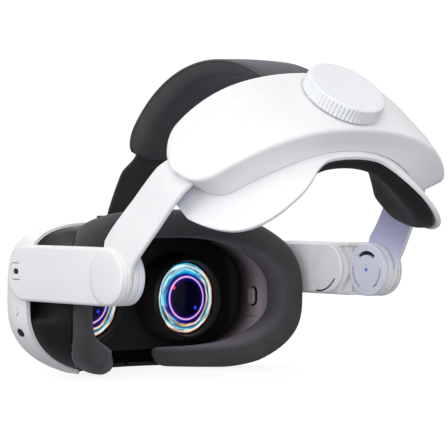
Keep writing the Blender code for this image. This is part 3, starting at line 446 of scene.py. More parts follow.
# ---------------------------------------------------------------- mesh helpers


def place(x, y, z):
    return Matrix.Translation((x, y, z))


def shade(mesh, sharp):
    """Shades smoothly, with edges kept sharp above an angle in degrees."""
    mesh.shade_smooth()
    mesh.set_sharp_from_angle(angle=radians(sharp))


def piece(name, bm, look, body, nodes=(), matrix=None, sharp=35):
    """Turns a bmesh into a finished piece that rides on a body, if any, and stands for its CAD nodes."""
    bmesh.ops.recalc_face_normals(bm, faces=bm.faces)
    mesh = bpy.data.meshes.new(name)
    bm.to_mesh(mesh)
    bm.free()
    if matrix is not None:
        mesh.transform(matrix)
        if matrix.determinant() < 0:
            mesh.flip_normals()
    mesh.materials.append(look)
    shade(mesh, sharp)
    made = bpy.data.objects.new(name, mesh)
    bpy.context.scene.collection.objects.link(made)
    if body:
        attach(made, body)
    if nodes:
        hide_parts(*nodes)
    return made


def settle(made, sharp=35):
    """Applies the modifiers and shades what they left."""
    graph = bpy.context.evaluated_depsgraph_get()
    mesh = bpy.data.meshes.new_from_object(made.evaluated_get(graph))
    made.modifiers.clear()
    made.data = mesh
    shade(mesh, sharp)
    return made


def rounded_edges(made, width, segments=3, degrees=35, sharp=35):
    """Rounds the corners of a finished piece."""
    mod = made.modifiers.new("Edges", "BEVEL")
    mod.width = width
    mod.segments = segments
    mod.limit_method = "ANGLE"
    mod.angle_limit = radians(degrees)
    mod.harden_normals = False
    return settle(made, sharp)


def cutter(bm, matrix):
    """A hidden solid for cutting."""
    bmesh.ops.recalc_face_normals(bm, faces=bm.faces)
    mesh = bpy.data.meshes.new("cutter")
    bm.to_mesh(mesh)
    bm.free()
    mesh.transform(matrix)
    made = bpy.data.objects.new("cutter", mesh)
    bpy.context.scene.collection.objects.link(made)
    return made


def box_cutter(centre, size):
    """A box for cutting, centred on a matrix."""
    square = [(0.5, 0.5), (-0.5, 0.5), (-0.5, -0.5), (0.5, -0.5)]
    return cutter(slab(square, 1), centre @ Matrix.Diagonal((*size, 1)))


def carve(made, cutters, sharp=35):
    """Cuts solids out of a piece and removes them."""
    for solid in cutters:
        mod = made.modifiers.new("Cut", "BOOLEAN")
        mod.object = solid
        mod.solver = "EXACT"
    settle(made, sharp)
    for solid in cutters:
        bpy.data.objects.remove(solid)
    return made


def skin(rings, closed=False, caps=True):
    """Skins a row of rings that have the same number of points each."""
    bm = bmesh.new()
    rows = [[bm.verts.new(p) for p in ring] for ring in rings]
    count = len(rows[0])
    pairs = list(zip(rows, rows[1:]))
    if closed:
        pairs.append((rows[-1], rows[0]))
    for row, following in pairs:
        for i in range(count):
            j = (i + 1) % count
            bm.faces.new((row[i], row[j], following[j], following[i]))
    if caps and not closed:
        for row in (rows[0], rows[-1]):
            bm.faces.new(row)
    return bm


def slab(outline, thickness):
    """A flat plate from an outline, centred on its plane."""
    half = thickness / 2
    rings = [[Vector((x, y, h)) for x, y in outline] for h in (-half, half)]
    return skin(rings)


def circle(count):
    """Evenly spaced turns round a circle."""
    return [2 * pi * i / count for i in range(count)]


def turned(profile, segments=96):
    """A surface turned about Z from (radius, height) points, closed where it doesn't start on the axis."""
    bm = bmesh.new()
    rows = []
    for r, h in profile:
        turns = [0.0] if r < 1e-7 else circle(segments)
        rows.append([bm.verts.new((r * cos(t), r * sin(t), h)) for t in turns])
    joins = list(zip(rows, rows[1:]))
    if len(rows[0]) > 1 and len(rows[-1]) > 1:
        joins.append((rows[-1], rows[0]))
    for near, far in joins:
        for i in range(segments):
            j = (i + 1) % segments
            corners = [near[i % len(near)], near[j % len(near)], far[j % len(far)], far[i % len(far)]]
            face = list(dict.fromkeys(corners))
            if len(face) > 2:
                bm.faces.new(face)
    return bm


def tube(path, radius, sides=10, closed=False):
    """A round cord along a path of points."""
    rings = []
    count = len(path)
    for i, point in enumerate(path):
        before = path[i - 1] if closed or i else path[0]
        after = path[(i + 1) % count] if closed or i + 1 < count else path[-1]
        along = (after - before).normalized()
        side = along.cross(Vector((0.12, 0.05, 1))).normalized()
        up = side.cross(along)
        rings.append([point + (side * cos(t) + up * sin(t)) * radius for t in circle(sides)])
    return skin(rings, closed)


def arc(centre_x, centre_y, radius, start, end, count):
    """Points on an arc, angles in degrees."""
    turns = [radians(start + (end - start) * i / count) for i in range(count + 1)]
    return [(centre_x + radius * cos(t), centre_y + radius * sin(t)) for t in turns]


def pill(length, width, count=20):
    """A stadium outline, length along X."""
    reach = (length - width) / 2
    return arc(reach, 0, width / 2, -90, 90, count) + arc(-reach, 0, width / 2, 90, 270, count)


def rounded(length, width, radius, count=8):
    """A rectangle outline with round corners."""
    x, y = length / 2 - radius, width / 2 - radius
    corners = [(x, y, 0), (-x, y, 90), (-x, -y, 180), (x, -y, 270)]
    return [p for cx, cy, a in corners for p in arc(cx, cy, radius, a, a + 90, count)]


def fillet(corners, steps=5):
    """Rounds a closed section. corners are (x, y, radius)."""
    points = []
    for i, (x, y, radius) in enumerate(corners):
        corner = Vector((x, y))
        before = Vector(corners[i - 1][:2]) - corner
        after = Vector(corners[(i + 1) % len(corners)][:2]) - corner
        angle = before.angle(after, pi)
        reach = min(radius / max(tan(angle / 2), 0.01), 0.45 * before.length, 0.45 * after.length)
        start = corner + before.normalized() * reach
        end = corner + after.normalized() * reach
        for k in range(steps + 1):
            t = k / steps
            points.append(start * (1 - t) ** 2 + corner * (2 * t * (1 - t)) + end * t * t)
    return points


def smooth_curve(knots, x):
    """A smooth line through (x, y) knots, kept within the knots' range."""
    if x <= knots[0][0]:
        return knots[0][1]
    for i in range(len(knots) - 1):
        x0, y0 = knots[i]
        x1, y1 = knots[i + 1]
        if x <= x1:
            span = x1 - x0
            slope0 = (y1 - knots[i - 1][1]) / (x1 - knots[i - 1][0]) if i else (y1 - y0) / span
            last = i + 2 == len(knots)
            slope1 = (y1 - y0) / span if last else (knots[i + 2][1] - y0) / (knots[i + 2][0] - x0)
            t = (x - x0) / span
            a = (1 + 2 * t) * (1 - t) ** 2
            b = t * (1 - t) ** 2
            c = t * t * (3 - 2 * t)
            d = t * t * (t - 1)
            return a * y0 + b * span * slope0 + c * y1 + d * span * slope1
    return knots[-1][1]


def ease(t):
    """0 to 1 with level ends."""
    t = min(1.0, max(0.0, t))
    return t * t * (3 - 2 * t)


def oval(turn, half_width, top, bottom, power_top, power_bottom):
    """A point on a rounded-box outline whose upper and lower halves differ, at a turn from +X."""
    c, s = cos(turn), sin(turn)
    power = power_top if s >= 0 else power_bottom
    height = top if s >= 0 else -bottom
    x = half_width * abs(c) ** (2 / power) * (1 if c >= 0 else -1)
    z = height * abs(s) ** (2 / power) * (1 if s >= 0 else -1)
    return x, z


# ---------------------------------------------------------------- visor


def rim_y(x):
    """How far back the visor's bowed rear rim lies at a side offset."""
    return VISOR_REAR_Y + VISOR_BOW * (x / VISOR_HALF_WIDTH) ** 2


def visor_outline(turn, inset_x, inset_z):
    """A point of the visor's outline seen from behind, drawn in from its edge."""
    return oval(turn, VISOR_HALF_WIDTH - inset_x, VISOR_TOP - inset_z, VISOR_BOTTOM + inset_z, *VISOR_POWERS)


def visor_point(turn, depth_turn):
    """A point of the visor's outer face: turn goes round it, depth_turn from its rear rim to its front."""
    scale = cos(depth_turn) ** (2 / VISOR_ROUNDNESS)
    depth = sin(depth_turn) ** (2 / VISOR_ROUNDNESS)
    x, z = visor_outline(turn, 0, 0)
    x, z = x * scale, z * scale
    return Vector((x, rim_y(x) + (VISOR_FRONT_Y - VISOR_REAR_Y) * depth, max(z, REST_Z)))


def on_visor(turn_degrees, depth_degrees):
    """A matrix on the visor's outer face, local Z along the face's normal, local X level."""
    t, d, step = radians(turn_degrees), radians(depth_degrees), 0.01
    point = visor_point(t, d)
    along = visor_point(t + step, d) - visor_point(t - step, d)
    across = visor_point(t, d + step) - visor_point(t, d - step)
    normal = along.cross(across).normalized()
    if normal.dot(point) < 0:
        normal = -normal
    level = Vector((0, 0, 1)).cross(normal).normalized()
    up = normal.cross(level)
    matrix = Matrix((level, up, normal)).transposed().to_4x4()
    matrix.translation = point
    return OPTICAL @ matrix


def visor_front_y(x, z):
    """How far forward the visor's outer face lies at a place seen from the front."""
    power, height = (VISOR_POWERS[0], VISOR_TOP) if z >= 0 else (VISOR_POWERS[1], -VISOR_BOTTOM)
    scale = (abs(x / VISOR_HALF_WIDTH) ** power + abs(z / height) ** power) ** (1 / power)
    depth = (1 - scale**VISOR_ROUNDNESS) ** (1 / VISOR_ROUNDNESS)
    return rim_y(x) + (VISOR_FRONT_Y - VISOR_REAR_Y) * depth


def front_frame(x, z):
    """A matrix on the visor's front, local Z forwards along the face's normal and local X up."""
    step = 1 * MM
    yaw = atan2(visor_front_y(x + step, z) - visor_front_y(x - step, z), 2 * step)
    matrix = Matrix.Rotation(yaw, 4, "Z") @ Matrix.Rotation(pi / 2, 4, "X") @ Matrix.Rotation(pi / 2, 4, "Z")
    return OPTICAL @ place(x, visor_front_y(x, z), z) @ matrix


NOSE_CENTRE, NOSE_RADII = Vector((0, 13, -38)) * MM, Vector((46, 29)) * MM


def nose_cutter(clearance=0.0):
    """The oval opening for the nose in the underside."""
    centre = OPTICAL @ Matrix.Translation(NOSE_CENTRE)
    size = Matrix.Diagonal((NOSE_RADII.x + clearance, NOSE_RADII.y + clearance, 30 * MM, 1))
    return cutter(slab(arc(0, 0, 1, 0, 357, 119), 1), centre @ size)


WINDOWS = {
    "left": (37 * MM, 30 * MM, 12.5 * MM),
    "centre": (0.0, 22 * MM, 11 * MM),
    "right": (-37 * MM, 30 * MM, 12.5 * MM),
}


POWER_BUTTON = (-2.5, 7)


def make_visor():
    """The white shell with its openings."""
    steps = 26
    wall = 2.2 * MM
    depths = [radians(86) * k / steps for k in range(steps + 1)]
    outer = [[visor_point(turn, depth) for turn in circle(VISOR_SEGMENTS)] for depth in depths]
    narrower, lower = 1 - wall / VISOR_HALF_WIDTH, 1 - wall / VISOR_TOP
    inner = []
    for ring in outer:
        row = [Vector((p.x * narrower, p.y + 0.9 * wall, max(p.z * lower, REST_Z + wall))) for p in ring]
        inner.append(row)
    for p, q in zip(inner[0], outer[0]):
        p.y = q.y
    bm = skin(list(reversed(outer)) + inner)
    shell = piece("visor_shell", bm, WHITE, "visor", ["front_shell"], OPTICAL)
    cutters = [nose_cutter()]
    for x, length, width in WINDOWS.values():
        cutters.append(cutter(slab(pill(length, width), 8 * MM), front_frame(x, 2 * MM)))
    for turn in (-16.5, 196.5):
        cutters.append(cutter(slab(pill(6 * MM, 4.6 * MM), 9 * MM), on_visor(turn, 6.3)))
    cutters.append(cutter(slab(arc(0, 0, 2.3 * MM, 0, 350, 35), 12 * MM), on_visor(*POWER_BUTTON)))
    cutters.append(cutter(slab(pill(15 * MM, 4.6 * MM), 12 * MM), on_visor(238, 36)))
    wheel_slot = OPTICAL @ place(24 * MM, -21 * MM, -35 * MM)
    cutters.append(box_cutter(wheel_slot, (5.2 * MM, 11.2 * MM, 10 * MM)))
    carve(shell, cutters, 30)
    shell.data.materials.append(BLACK)
    for face in shell.data.polygons:
        at = face.center - OPTICAL_CENTRE
        core = Vector((max(-62 * MM, min(62 * MM, at.x)), 0, max(-20 * MM, min(20 * MM, at.z))))
        nose = (at.x / NOSE_RADII.x) ** 2 + ((at.y - NOSE_CENTRE.y) / NOSE_RADII.y) ** 2
        inward = face.normal.dot(at - core) < -0.1 * (at - core).length
        if inward or (at.z < 0 and abs(nose - 1) < 0.04):
            face.material_index = 1
    return shell


def make_windows():
    """The glossy windows, each with two dark camera eyes behind it."""
    for side, (x, length, width) in WINDOWS.items():
        matrix = front_frame(x, 2 * MM) @ place(0, 0, -0.9 * MM)
        window = slab(pill(length - 0.6 * MM, width - 0.6 * MM), 1.8 * MM)
        made = piece(f"window_{side}", window, GLASS, "visor", [f"sensor_window_{side}"], matrix)
        rounded_edges(made, 0.4 * MM)


def make_rear_housing():
    """The dark ring inside the shell's rear rim."""

    def ring(inset_x, inset_z, y_offset):
        outline = [visor_outline(turn, inset_x, inset_z) for turn in circle(VISOR_SEGMENTS)]
        return [Vector((x, rim_y(x) + y_offset, max(z, REST_Z + 2.6 * MM))) for x, z in outline]

    rows = [(3, 3, -7), (3, 3, -1), (3.5, 3.4, -0.6), (6.7, 4.7, -0.6), (7.2, 5, -1), (7.2, 5, -7)]
    rings = [ring(a * MM, b * MM, c * MM) for a, b, c in rows]
    bm = skin(rings, closed=True)
    made = piece("visor_rear_ring", bm, BLACK, "visor", ["rear_housing"], OPTICAL)
    hole = cutter(slab(arc(0, 0, 3.6 * MM, 0, 350, 35), 14 * MM), on_visor(*POWER_BUTTON))
    return carve(made, [nose_cutter(2 * MM), hole])


# ---------------------------------------------------------------- face interface

BROW_POWER, SEAM_POWER, CHEEK_POWER = 2.6, 3.1, 3.0
CHEEK_KNOTS = ((0, -9), (14, -7), (22, 3), (35, 18), (50, 34), (66, 44), (74, 48))


def face_depth(turn):
    """How far back the face cushion's rear face lies, at a turn from +X round the face."""
    x, _ = oval(turn, 74 * MM, 42 * MM, -42 * MM, 2.3, 3)
    brow = (34 + 14 * abs(x / (74 * MM)) ** 5) * MM
    if sin(turn) >= 0:
        return brow
    return min(brow, smooth_curve(CHEEK_KNOTS, abs(x) / MM) * MM)


def face_turns(more, finer=3):
    """Turns from the left side of the nose, over the brow, to its right side, with more steps at each end."""
    nose, count = radians(21), 48
    step = (2 * pi - 2 * nose) / count
    steps = range(-more * finer, (count + more) * finer + 1)
    return [nose - pi / 2 + step * i / finer for i in steps]


def face_point(turn, half_width, top, bottom, y, brow=BROW_POWER):
    """A point on the face outline, with a squarer or rounder brow."""
    x, z = oval(turn, half_width * MM, top * MM, bottom * MM, brow, CHEEK_POWER)
    return Vector((x, y, max(z + FACE_RISE, REST_Z)))


def rim_point(turn, inset, y_offset):
    """A point just inside the visor's rear rim."""
    x, z = visor_outline(turn, inset, inset)
    return Vector((x, rim_y(x) + y_offset, max(z, REST_Z + inset)))


def face_section(turn):
    """The rear face, the seam between cushion and tunnel, the end of the inner lining, and the nose taper."""
    rear = face_depth(turn)
    x = abs(face_point(turn, 72.6, 44, -40, 0).x)
    thicker = 0.65 * (72.6 * MM - x) * ease(-2.5 * sin(turn))
    rim = rim_point(turn, 2.6 * MM, 0).y
    deeper = 6.5 * MM * ease((sin(turn) - 0.42) / 0.38)
    seam = max(rear - 8.2 * MM - thicker - deeper, min(rim + 3 * MM, rear - 6 * MM))
    lining = rear - (9.4 + 11 * ease((rear / MM - 12) / 36)) * MM
    from_nose = abs((turn + 1.5 * pi) % (2 * pi) - pi)
    low = 3.4 * max(0.0, 1 - from_nose / radians(50))
    return rear, seam, lining, low


def soft_corners(corners, steps=4):
    """Rounds a closed section of (point, radius in mm) corners in space."""
    ring = []
    for i, (corner, radius) in enumerate(corners):
        before = corners[i - 1][0] - corner
        after = corners[(i + 1) % len(corners)][0] - corner
        start = corner + before.normalized() * min(radius * MM, 0.45 * before.length)
        end = corner + after.normalized() * min(radius * MM, 0.45 * after.length)
        for k in range(steps + 1):
            t = k / steps
            ring.append(start * (1 - t) ** 2 + corner * (2 * t * (1 - t)) + end * t * t)
    return ring


def beside_temple(point):
    """Keeps a point of the tunnel clear of the temple bars, which it slides between."""
    limit = 75.8 * MM
    height = abs(point.z - (PIVOT - OPTICAL_CENTRE).z) - TEMPLE_HEIGHT / 2
    beyond = max(0.0, abs(point.x) - limit) * (1 - ease((height - 5 * MM) / (6 * MM)))
    return Vector((point.x - beyond * (1 if point.x > 0 else -1), point.y, point.z))


def make_interface():
    """The smooth dark tunnel that swells out of the visor's rim and steps up to the cushion over the brow."""
    rings = []
    for turn in face_turns(0):
        rear, seam, lining, low = face_section(turn)
        brow = ease(1.5 * sin(turn))
        near = rim_point(turn, (2.5 - 1.3 * brow) * MM, 0.3 * MM)
        far = face_point(turn, 73, 44 - 6.4 * brow, -40.6, seam - 0.3 * MM, SEAM_POWER)
        swell = Vector((near.x, 0, near.z)).normalized() * min(1.0, (far.y - near.y) / (20 * MM))
        swell *= (2.6 - 1.7 * brow * brow) * MM
        front = min(-9 * MM, near.y - 4 * MM)
        corners = (
            (rim_point(turn, 3.4 * MM, -4 * MM), 0.3),
            (rim_point(turn, 3.1 * MM, 0.25 * MM), 0.1),
            (near, 0.4),
            (near.lerp(far, 0.35) + swell, 8),
            (near.lerp(far, 0.75) + swell * 0.75, 8),
            (far, 0.9),
            (face_point(turn, 71, 42 - 6.4 * brow, -38.6, seam - 0.3 * MM, SEAM_POWER), 0.5),
            (face_point(turn, 66.4, 33, -29.8 - low, lining - 0.3 * MM), 1.5),
            (face_point(turn, 72.9, 33, -31.8, min(near.y + 0.5 * MM, lining - 5 * MM)), 4),
            (face_point(turn, 73.2, 31.6, -31.8, front), 0.4),
            (face_point(turn, 74.6, 32.8, -33.6, front), 0.4),
        )
        rings.append(soft_corners([(beside_temple(point), radius) for point, radius in corners]))
    bm = skin(rings)
    made = piece("interface_tunnel", bm, BLACK, "interface", ["interface_frame"], OPTICAL, 50)
    cutters = []
    upright = TO_SIDE @ Matrix.Rotation(pi / 2, 4, "Z")
    for _, sign in SIDES:
        release_pocket = OPTICAL @ place(sign * 70.8 * MM, 4 * MM, 0.2 * MM) @ upright
        cutters.append(cutter(slab(pill(10.8 * MM, 6.4 * MM), 6 * MM), release_pocket))
    carve(made, cutters, 50)
    # Inward side walls get the warm grey that fades into painted shade deeper in.
    made.data.materials.append(WARM_WALL_PAINTED_SHADE)
    for face in made.data.polygons:
        across = abs(face.center.x)
        if 50 * MM < across < 73.5 * MM and face.normal.x * face.center.x < -0.3 * across:
            face.material_index = 1
    return made


def make_vents():
    """Five fine slots low on each inner wall of the tunnel, drawn as small dark boxes of painted shade."""
    for side, sign in SIDES:
        bm = bmesh.new()
        for i in range(5):
            spot = OPTICAL @ place(sign * 71.2 * MM, (-1 + 2.15 * i) * MM, -11.4 * MM)
            size = Matrix.Diagonal((0.7 * MM, 0.9 * MM, 1.7 * MM, 1))
            bmesh.ops.create_cube(bm, size=1, matrix=spot @ size)
        piece(f"tunnel_vents_{side}", bm, PAINTED_SHADE_DARK, "interface")


# ---------------------------------------------------------------- soft goods


def puff(made, cap, pressure=4.0, hold=None):
    """Blows a closed pad up gently as cloth, with a cap on how far each point moves, and smooths it."""
    mesh = made.data
    start = [v.co.copy() for v in mesh.vertices]
    cloth_mod = made.modifiers.new("Cloth", "CLOTH")
    settings = cloth_mod.settings
    settings.quality = 4
    settings.mass = 0.3
    settings.tension_stiffness = 15
    settings.compression_stiffness = 15
    settings.bending_stiffness = 1
    settings.use_pressure = True
    settings.uniform_pressure_force = pressure
    settings.effector_weights.gravity = 0
    cloth_mod.collision_settings.use_collision = False
    cloth_mod.point_cache.frame_start = 1
    cloth_mod.point_cache.frame_end = 20
    scene = bpy.context.scene
    for number in range(1, 21):
        scene.frame_set(number)
    graph = bpy.context.evaluated_depsgraph_get()
    moved = made.evaluated_get(graph).data
    for vert, rest, other in zip(mesh.vertices, start, moved.vertices):
        shift = other.co - rest
        limit = cap * (hold(rest) if hold else 1.0)
        if shift.length > limit:
            shift = shift.normalized() * limit
        vert.co = rest + shift
    made.modifiers.clear()
    scene.frame_set(1)
    finer = made.modifiers.new("Finer", "SUBSURF")
    finer.levels = finer.render_levels = 1
    return settle(made, 60)


def round_ends(rings, reach, steps=5):
    """Closes both ends of a row of rings with a dome."""

    def dome(ring, inner):
        middle = sum(ring, Vector()) / len(ring)
        out = (middle - sum(inner, Vector()) / len(inner)).normalized()
        domed = []
        for k in range(1, steps + 1):
            turn = pi / 2 * k / (steps + 0.35)
            domed.append([middle + (p - middle) * cos(turn) + out * reach * sin(turn) for p in ring])
        return domed

    return list(reversed(dome(rings[0], rings[1]))) + rings + dome(rings[-1], rings[-2])


def make_face_cushion():
    """The foam ring that meets the face, with its soft inner lining."""
    rings = []
    for turn in face_turns(2, 2):
        rear, seam, lining, low = face_section(turn)
        brow = ease(1.5 * sin(turn))
        bulge = seam + (rear - seam) * (0.4 - 0.12 * brow)
        corners = (
            (face_point(turn, 72.6, 43.6 - 0.6 * brow, -40.2, seam + 0.2 * MM, SEAM_POWER), 1.2 + 3 * brow),
            (face_point(turn, 73.4, 45.2, -42, bulge, SEAM_POWER), 4),
            (face_point(turn, 72.4, 44.2, -41.6, rear - 2.2 * MM, 2.8), 4),
            (face_point(turn, 69.2, 41.2, -38, rear - 0.4 * MM), 4),
            (face_point(turn, 65.4, 36.6, -32.8 - low / 2, rear - 1.4 * MM), 5),
            (face_point(turn, 62.2, 32.2, -28 - low, rear - 5 * MM), 5),
            (face_point(turn, 61, 30, -25.8 - low, (rear + lining) / 2), 6),
            (face_point(turn, 62.4, 30.2, -26.2 - low, lining), 1.2),
            (face_point(turn, 65.2, 32, -28.8 - low, lining), 1),
            (face_point(turn, 69.8, 41 - 6.2 * brow, -37.4, seam + 0.2 * MM, SEAM_POWER), 1.2),
        )
        rings.append(soft_corners(corners, 2))
    rings = round_ends(rings, 5 * MM)
    made = piece("face_foam", skin(rings), FOAM_PAINTED_SHEEN, "interface", ["face_cushion"], OPTICAL)
    puff(made, 0.9 * MM, 2.0)
    return made


# ---------------------------------------------------------------- lenses


def make_eyes():
    """Each lens with its dark barrel and the flared surround round it."""
    for side, sign in SIDES:
        body = f"eye_{side}"
        centre = OPTICAL @ place(sign * IPD / 2, 0, 0)
        outer, inner = 21.7 * MM, LENS_RADIUS + 0.2 * MM
        profile = [(inner, -2.8 * MM), (inner + 0.7 * MM, -0.4 * MM), (inner + 1.5 * MM, 0)]
        for k in range(1, 13):
            ridge = 0.35 * MM * (k % 3 == 0)
            profile.append((inner + (1.5 + 0.62 * k) * MM, -(0.35 + 0.08 * k) * k * MM + ridge))
        profile += [(28.8 * MM, -16 * MM), (outer, -17 * MM), (inner, -17 * MM)]
        bm = turned(profile)
        for vert in bm.verts:
            reach = hypot(vert.co.x, vert.co.y)
            vert.co.y *= 1 - 0.13 * ease((reach - outer) / (7 * MM))
        spot = centre @ TO_REAR
        piece(f"lens_mount_{side}", bm, BLACK, body, [f"lens_barrel_{side}"], spot, 25)
        face = [(0, -2 * MM)]
        face += [(LENS_RADIUS * k / 24, (-2 - 2.6 * (k / 24) ** 2) * MM) for k in range(1, 25)]
        face += [(LENS_RADIUS, -9 * MM), (LENS_RADIUS * 0.5, -10.6 * MM), (0, -11.2 * MM)]
        bm = turned(face)
        bmesh.ops.transform(bm, matrix=TO_REAR, verts=bm.verts)
        glass = piece(f"lens_glass_{side}", bm, LENS_PAINTED_REFLECTION, body, [f"lens_{side}"], None, 40)
        glass.matrix_world = centre
        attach(glass, body)


def make_lens_panel():
    """The dark panel round the two lens slots."""
    outline = [oval(turn + radians(1.5), 70 * MM, 35 * MM, -27 * MM, 3, 3.4) for turn in circle(120)]
    facing = Matrix.Rotation(pi / 2, 4, "X")
    bm = slab(outline, 2 * MM)
    spot = OPTICAL @ place(0, -13.5 * MM, 0) @ facing
    made = piece("lens_panel_face", bm, BLACK, "visor", ["lens_panel"], spot)
    holes = []
    for _, sign in SIDES:
        where = OPTICAL @ place(sign * IPD / 2, -13.5 * MM, 0) @ facing
        holes.append(cutter(slab(pill(52 * MM, 44.6 * MM, 40), 6 * MM), where))
    return carve(made, holes)


# ---------------------------------------------------------------- temple arms


CHARGE_INLET = OPTICAL @ place(TEMPLE_OUTER_X, 14 * MM, 17.6 * MM) @ TO_SIDE


def make_temple(side, sign):
    """The white temple bar, its cover, and the discs on both faces of the pivot."""
    _, pivot_y, pivot_z = PIVOT - OPTICAL_CENTRE
    rear = PIVOT_RADIUS + pivot_y
    length = rear - TEMPLE_FRONT_Y

    def at(x_near, x_far, y):
        return OPTICAL @ place(sign * (x_near + x_far) / 2, y, pivot_z) @ TO_SIDE

    def plate(name, outline, x_near, x_far, y, look, nodes, edge=0.6 * MM, segments=3):
        bm = slab(outline, x_far - x_near)
        made = piece(f"{name}_{side}", bm, look, "visor", nodes, at(x_near, x_far, y))
        return rounded_edges(made, edge, segments)

    def block(y0, y1, x0, x1):
        spot = OPTICAL @ place(sign * (x0 + x1) / 2, (y0 + y1) / 2, 10 * MM)
        return box_cutter(spot, (x1 - x0, y1 - y0, 140 * MM))

    middle = (rear + TEMPLE_FRONT_Y) / 2
    shell = plate(
        "temple_bar", pill(length, TEMPLE_HEIGHT, 32), TEMPLE_INNER_X, TEMPLE_OUTER_X, middle,
        WHITE_ARM, [f"temple_shell_{side}"], 1.8 * MM, 5,
    )
    cutters = [
        block(75 * MM, rear + 5 * MM, 70 * MM, ARM_OUTER_X + 0.3 * MM),
        block(-5 * MM, 17 * MM, 70 * MM, 84.2 * MM),
    ]
    if side == "left":
        cutters.append(cutter(slab(rounded(9 * MM, 8.6 * MM, 2 * MM), 4 * MM), CHARGE_INLET))
    carve(shell, cutters)
    plate(
        "temple_inner_cover", rounded(53.4 * MM, 25.6 * MM, 12.4 * MM, 14), 76.2 * MM, 78.3 * MM, 44.7 * MM,
        PALE, [f"temple_cover_{side}"], 1.0 * MM, 5,
    )
    # A thin dark inlay paints the shade of a curved groove in the cover.
    bow = arc(-6 * MM, 2.6 * MM, 15 * MM, -98, -32, 20) + arc(-6 * MM, 2.6 * MM, 14.2 * MM, -32, -98, 20)
    spot = at(76.15 * MM, 76.35 * MM, 60 * MM)
    piece(f"temple_bow_{side}", slab(bow, 0.2 * MM), PAINTED_SHADE_DARK, "visor", (), spot)
    clip_outline = arc(0, 0, PIVOT_RADIUS, -90, 90, 40)
    clip_outline += [(-15.5 * MM, PIVOT_RADIUS), (-15.5 * MM, -PIVOT_RADIUS)]
    clip = plate(
        "pivot_clip", clip_outline, 79.5 * MM, 82.7 * MM, pivot_y,
        WHITE_ARM, [f"clip_plate_{side}"], 0.4 * MM,
    )
    for up in (1, -1):
        corner = [(-23 * MM, up * 11.8 * MM), (-8.2 * MM, up * 12 * MM), (-15 * MM, up * 1.2 * MM)]
        for made, depth in ((clip, 81.7 * MM), (shell, 81 * MM)):
            carve(made, [cutter(slab(corner, depth - 76 * MM), at(76 * MM, depth, pivot_y))])
    # The retainer disc takes the lavender of painted shade.
    disc = plate(
        "pivot_retainer", arc(0, 0, PIVOT_RADIUS, 0, 355, 71), 76.1 * MM, 79.2 * MM, pivot_y,
        LAVENDER_PAINTED_SHADE, [f"retainer_disc_{side}"], 0.7 * MM,
    )
    slots = []
    for centre, half, near, far in ((90, 42, 7.6, 9.7), (205.5, 35, 9.7, 10.7), (332, 32, 9.7, 10.7)):
        curve = arc(0, 0, near * MM, centre - half, centre + half, 16)
        curve += arc(0, 0, far * MM, centre + half, centre - half, 16)
        slots.append(cutter(slab(curve, 3 * MM), at(75.6 * MM, 76.6 * MM, pivot_y)))
        # A dark bed in each slot paints its shade.
        bed = slab(curve, 0.2 * MM)
        spot = at(77.55 * MM, 77.65 * MM, pivot_y)
        piece(f"retainer_slot_{side}_{centre}", bed, PAINTED_SHADE_DARK, "visor", (), spot)
    carve(disc, slots)
    mark = turned([(0, 0.1 * MM), (1.0 * MM, 0.1 * MM), (1.0 * MM, -0.1 * MM), (0, -0.1 * MM)], 24)
    spot = at(76.05 * MM, 76.1 * MM, pivot_y)
    piece(f"pivot_mark_{side}", mark, BLUE_MARK, "visor", (), spot)
    levels = ((0, 1.5), (6, 1.42), (11.5, 1.15), (12.7, 0.9), (13.1, 0.5), (13.2, 0), (0, 0))
    dome = turned([(radius * MM, height * MM) for radius, height in levels])
    centre = place(sign * (TEMPLE_OUTER_X + 0.05 * MM), pivot_y, pivot_z)
    matrix = OPTICAL @ centre @ Matrix.Rotation(sign * pi / 2, 4, "Y")
    piece(f"pivot_cover_{side}", dome, WHITE_ARM, "visor", [f"pivot_cap_{side}"], matrix, 50)


def make_charging_port():
    """The square inlet with a dark centre, on the left temple bar."""
    spot = CHARGE_INLET @ place(0, 0, -0.8 * MM)
    bm = slab(rounded(8.3 * MM, 7.9 * MM, 1.8 * MM), 1.5 * MM)
    port = piece("charge_inlet", bm, WHITE_ARM, "visor", ["charging_port"], spot)
    rounded_edges(port, 0.35 * MM)
    # A dark ring round the inlet and a dark bed in its socket paint the shade of the gap and the hole.
    gap = slab(rounded(8.9 * MM, 8.5 * MM, 1.9 * MM), 0.2 * MM)
    piece("charge_inlet_gap", gap, PAINTED_SHADE_DARK, "visor", (), spot @ place(0, 0, -0.85 * MM))
    carve(port, [cutter(slab(pill(4.9 * MM, 2.8 * MM), 2 * MM), spot @ place(0, 0, 0.8 * MM))])
    bed = slab(pill(4.7 * MM, 2.6 * MM), 0.2 * MM)
    piece("charge_inlet_bed", bed, PAINTED_SHADE_DARK, "visor", (), spot @ place(0, 0, 0.1 * MM))


# ---------------------------------------------------------------- head strap

ARM_BENDS = ((0, 86), (16, 86), (36, 82.2), (56, 77.9), (66, 72.2), (76, 63.8))


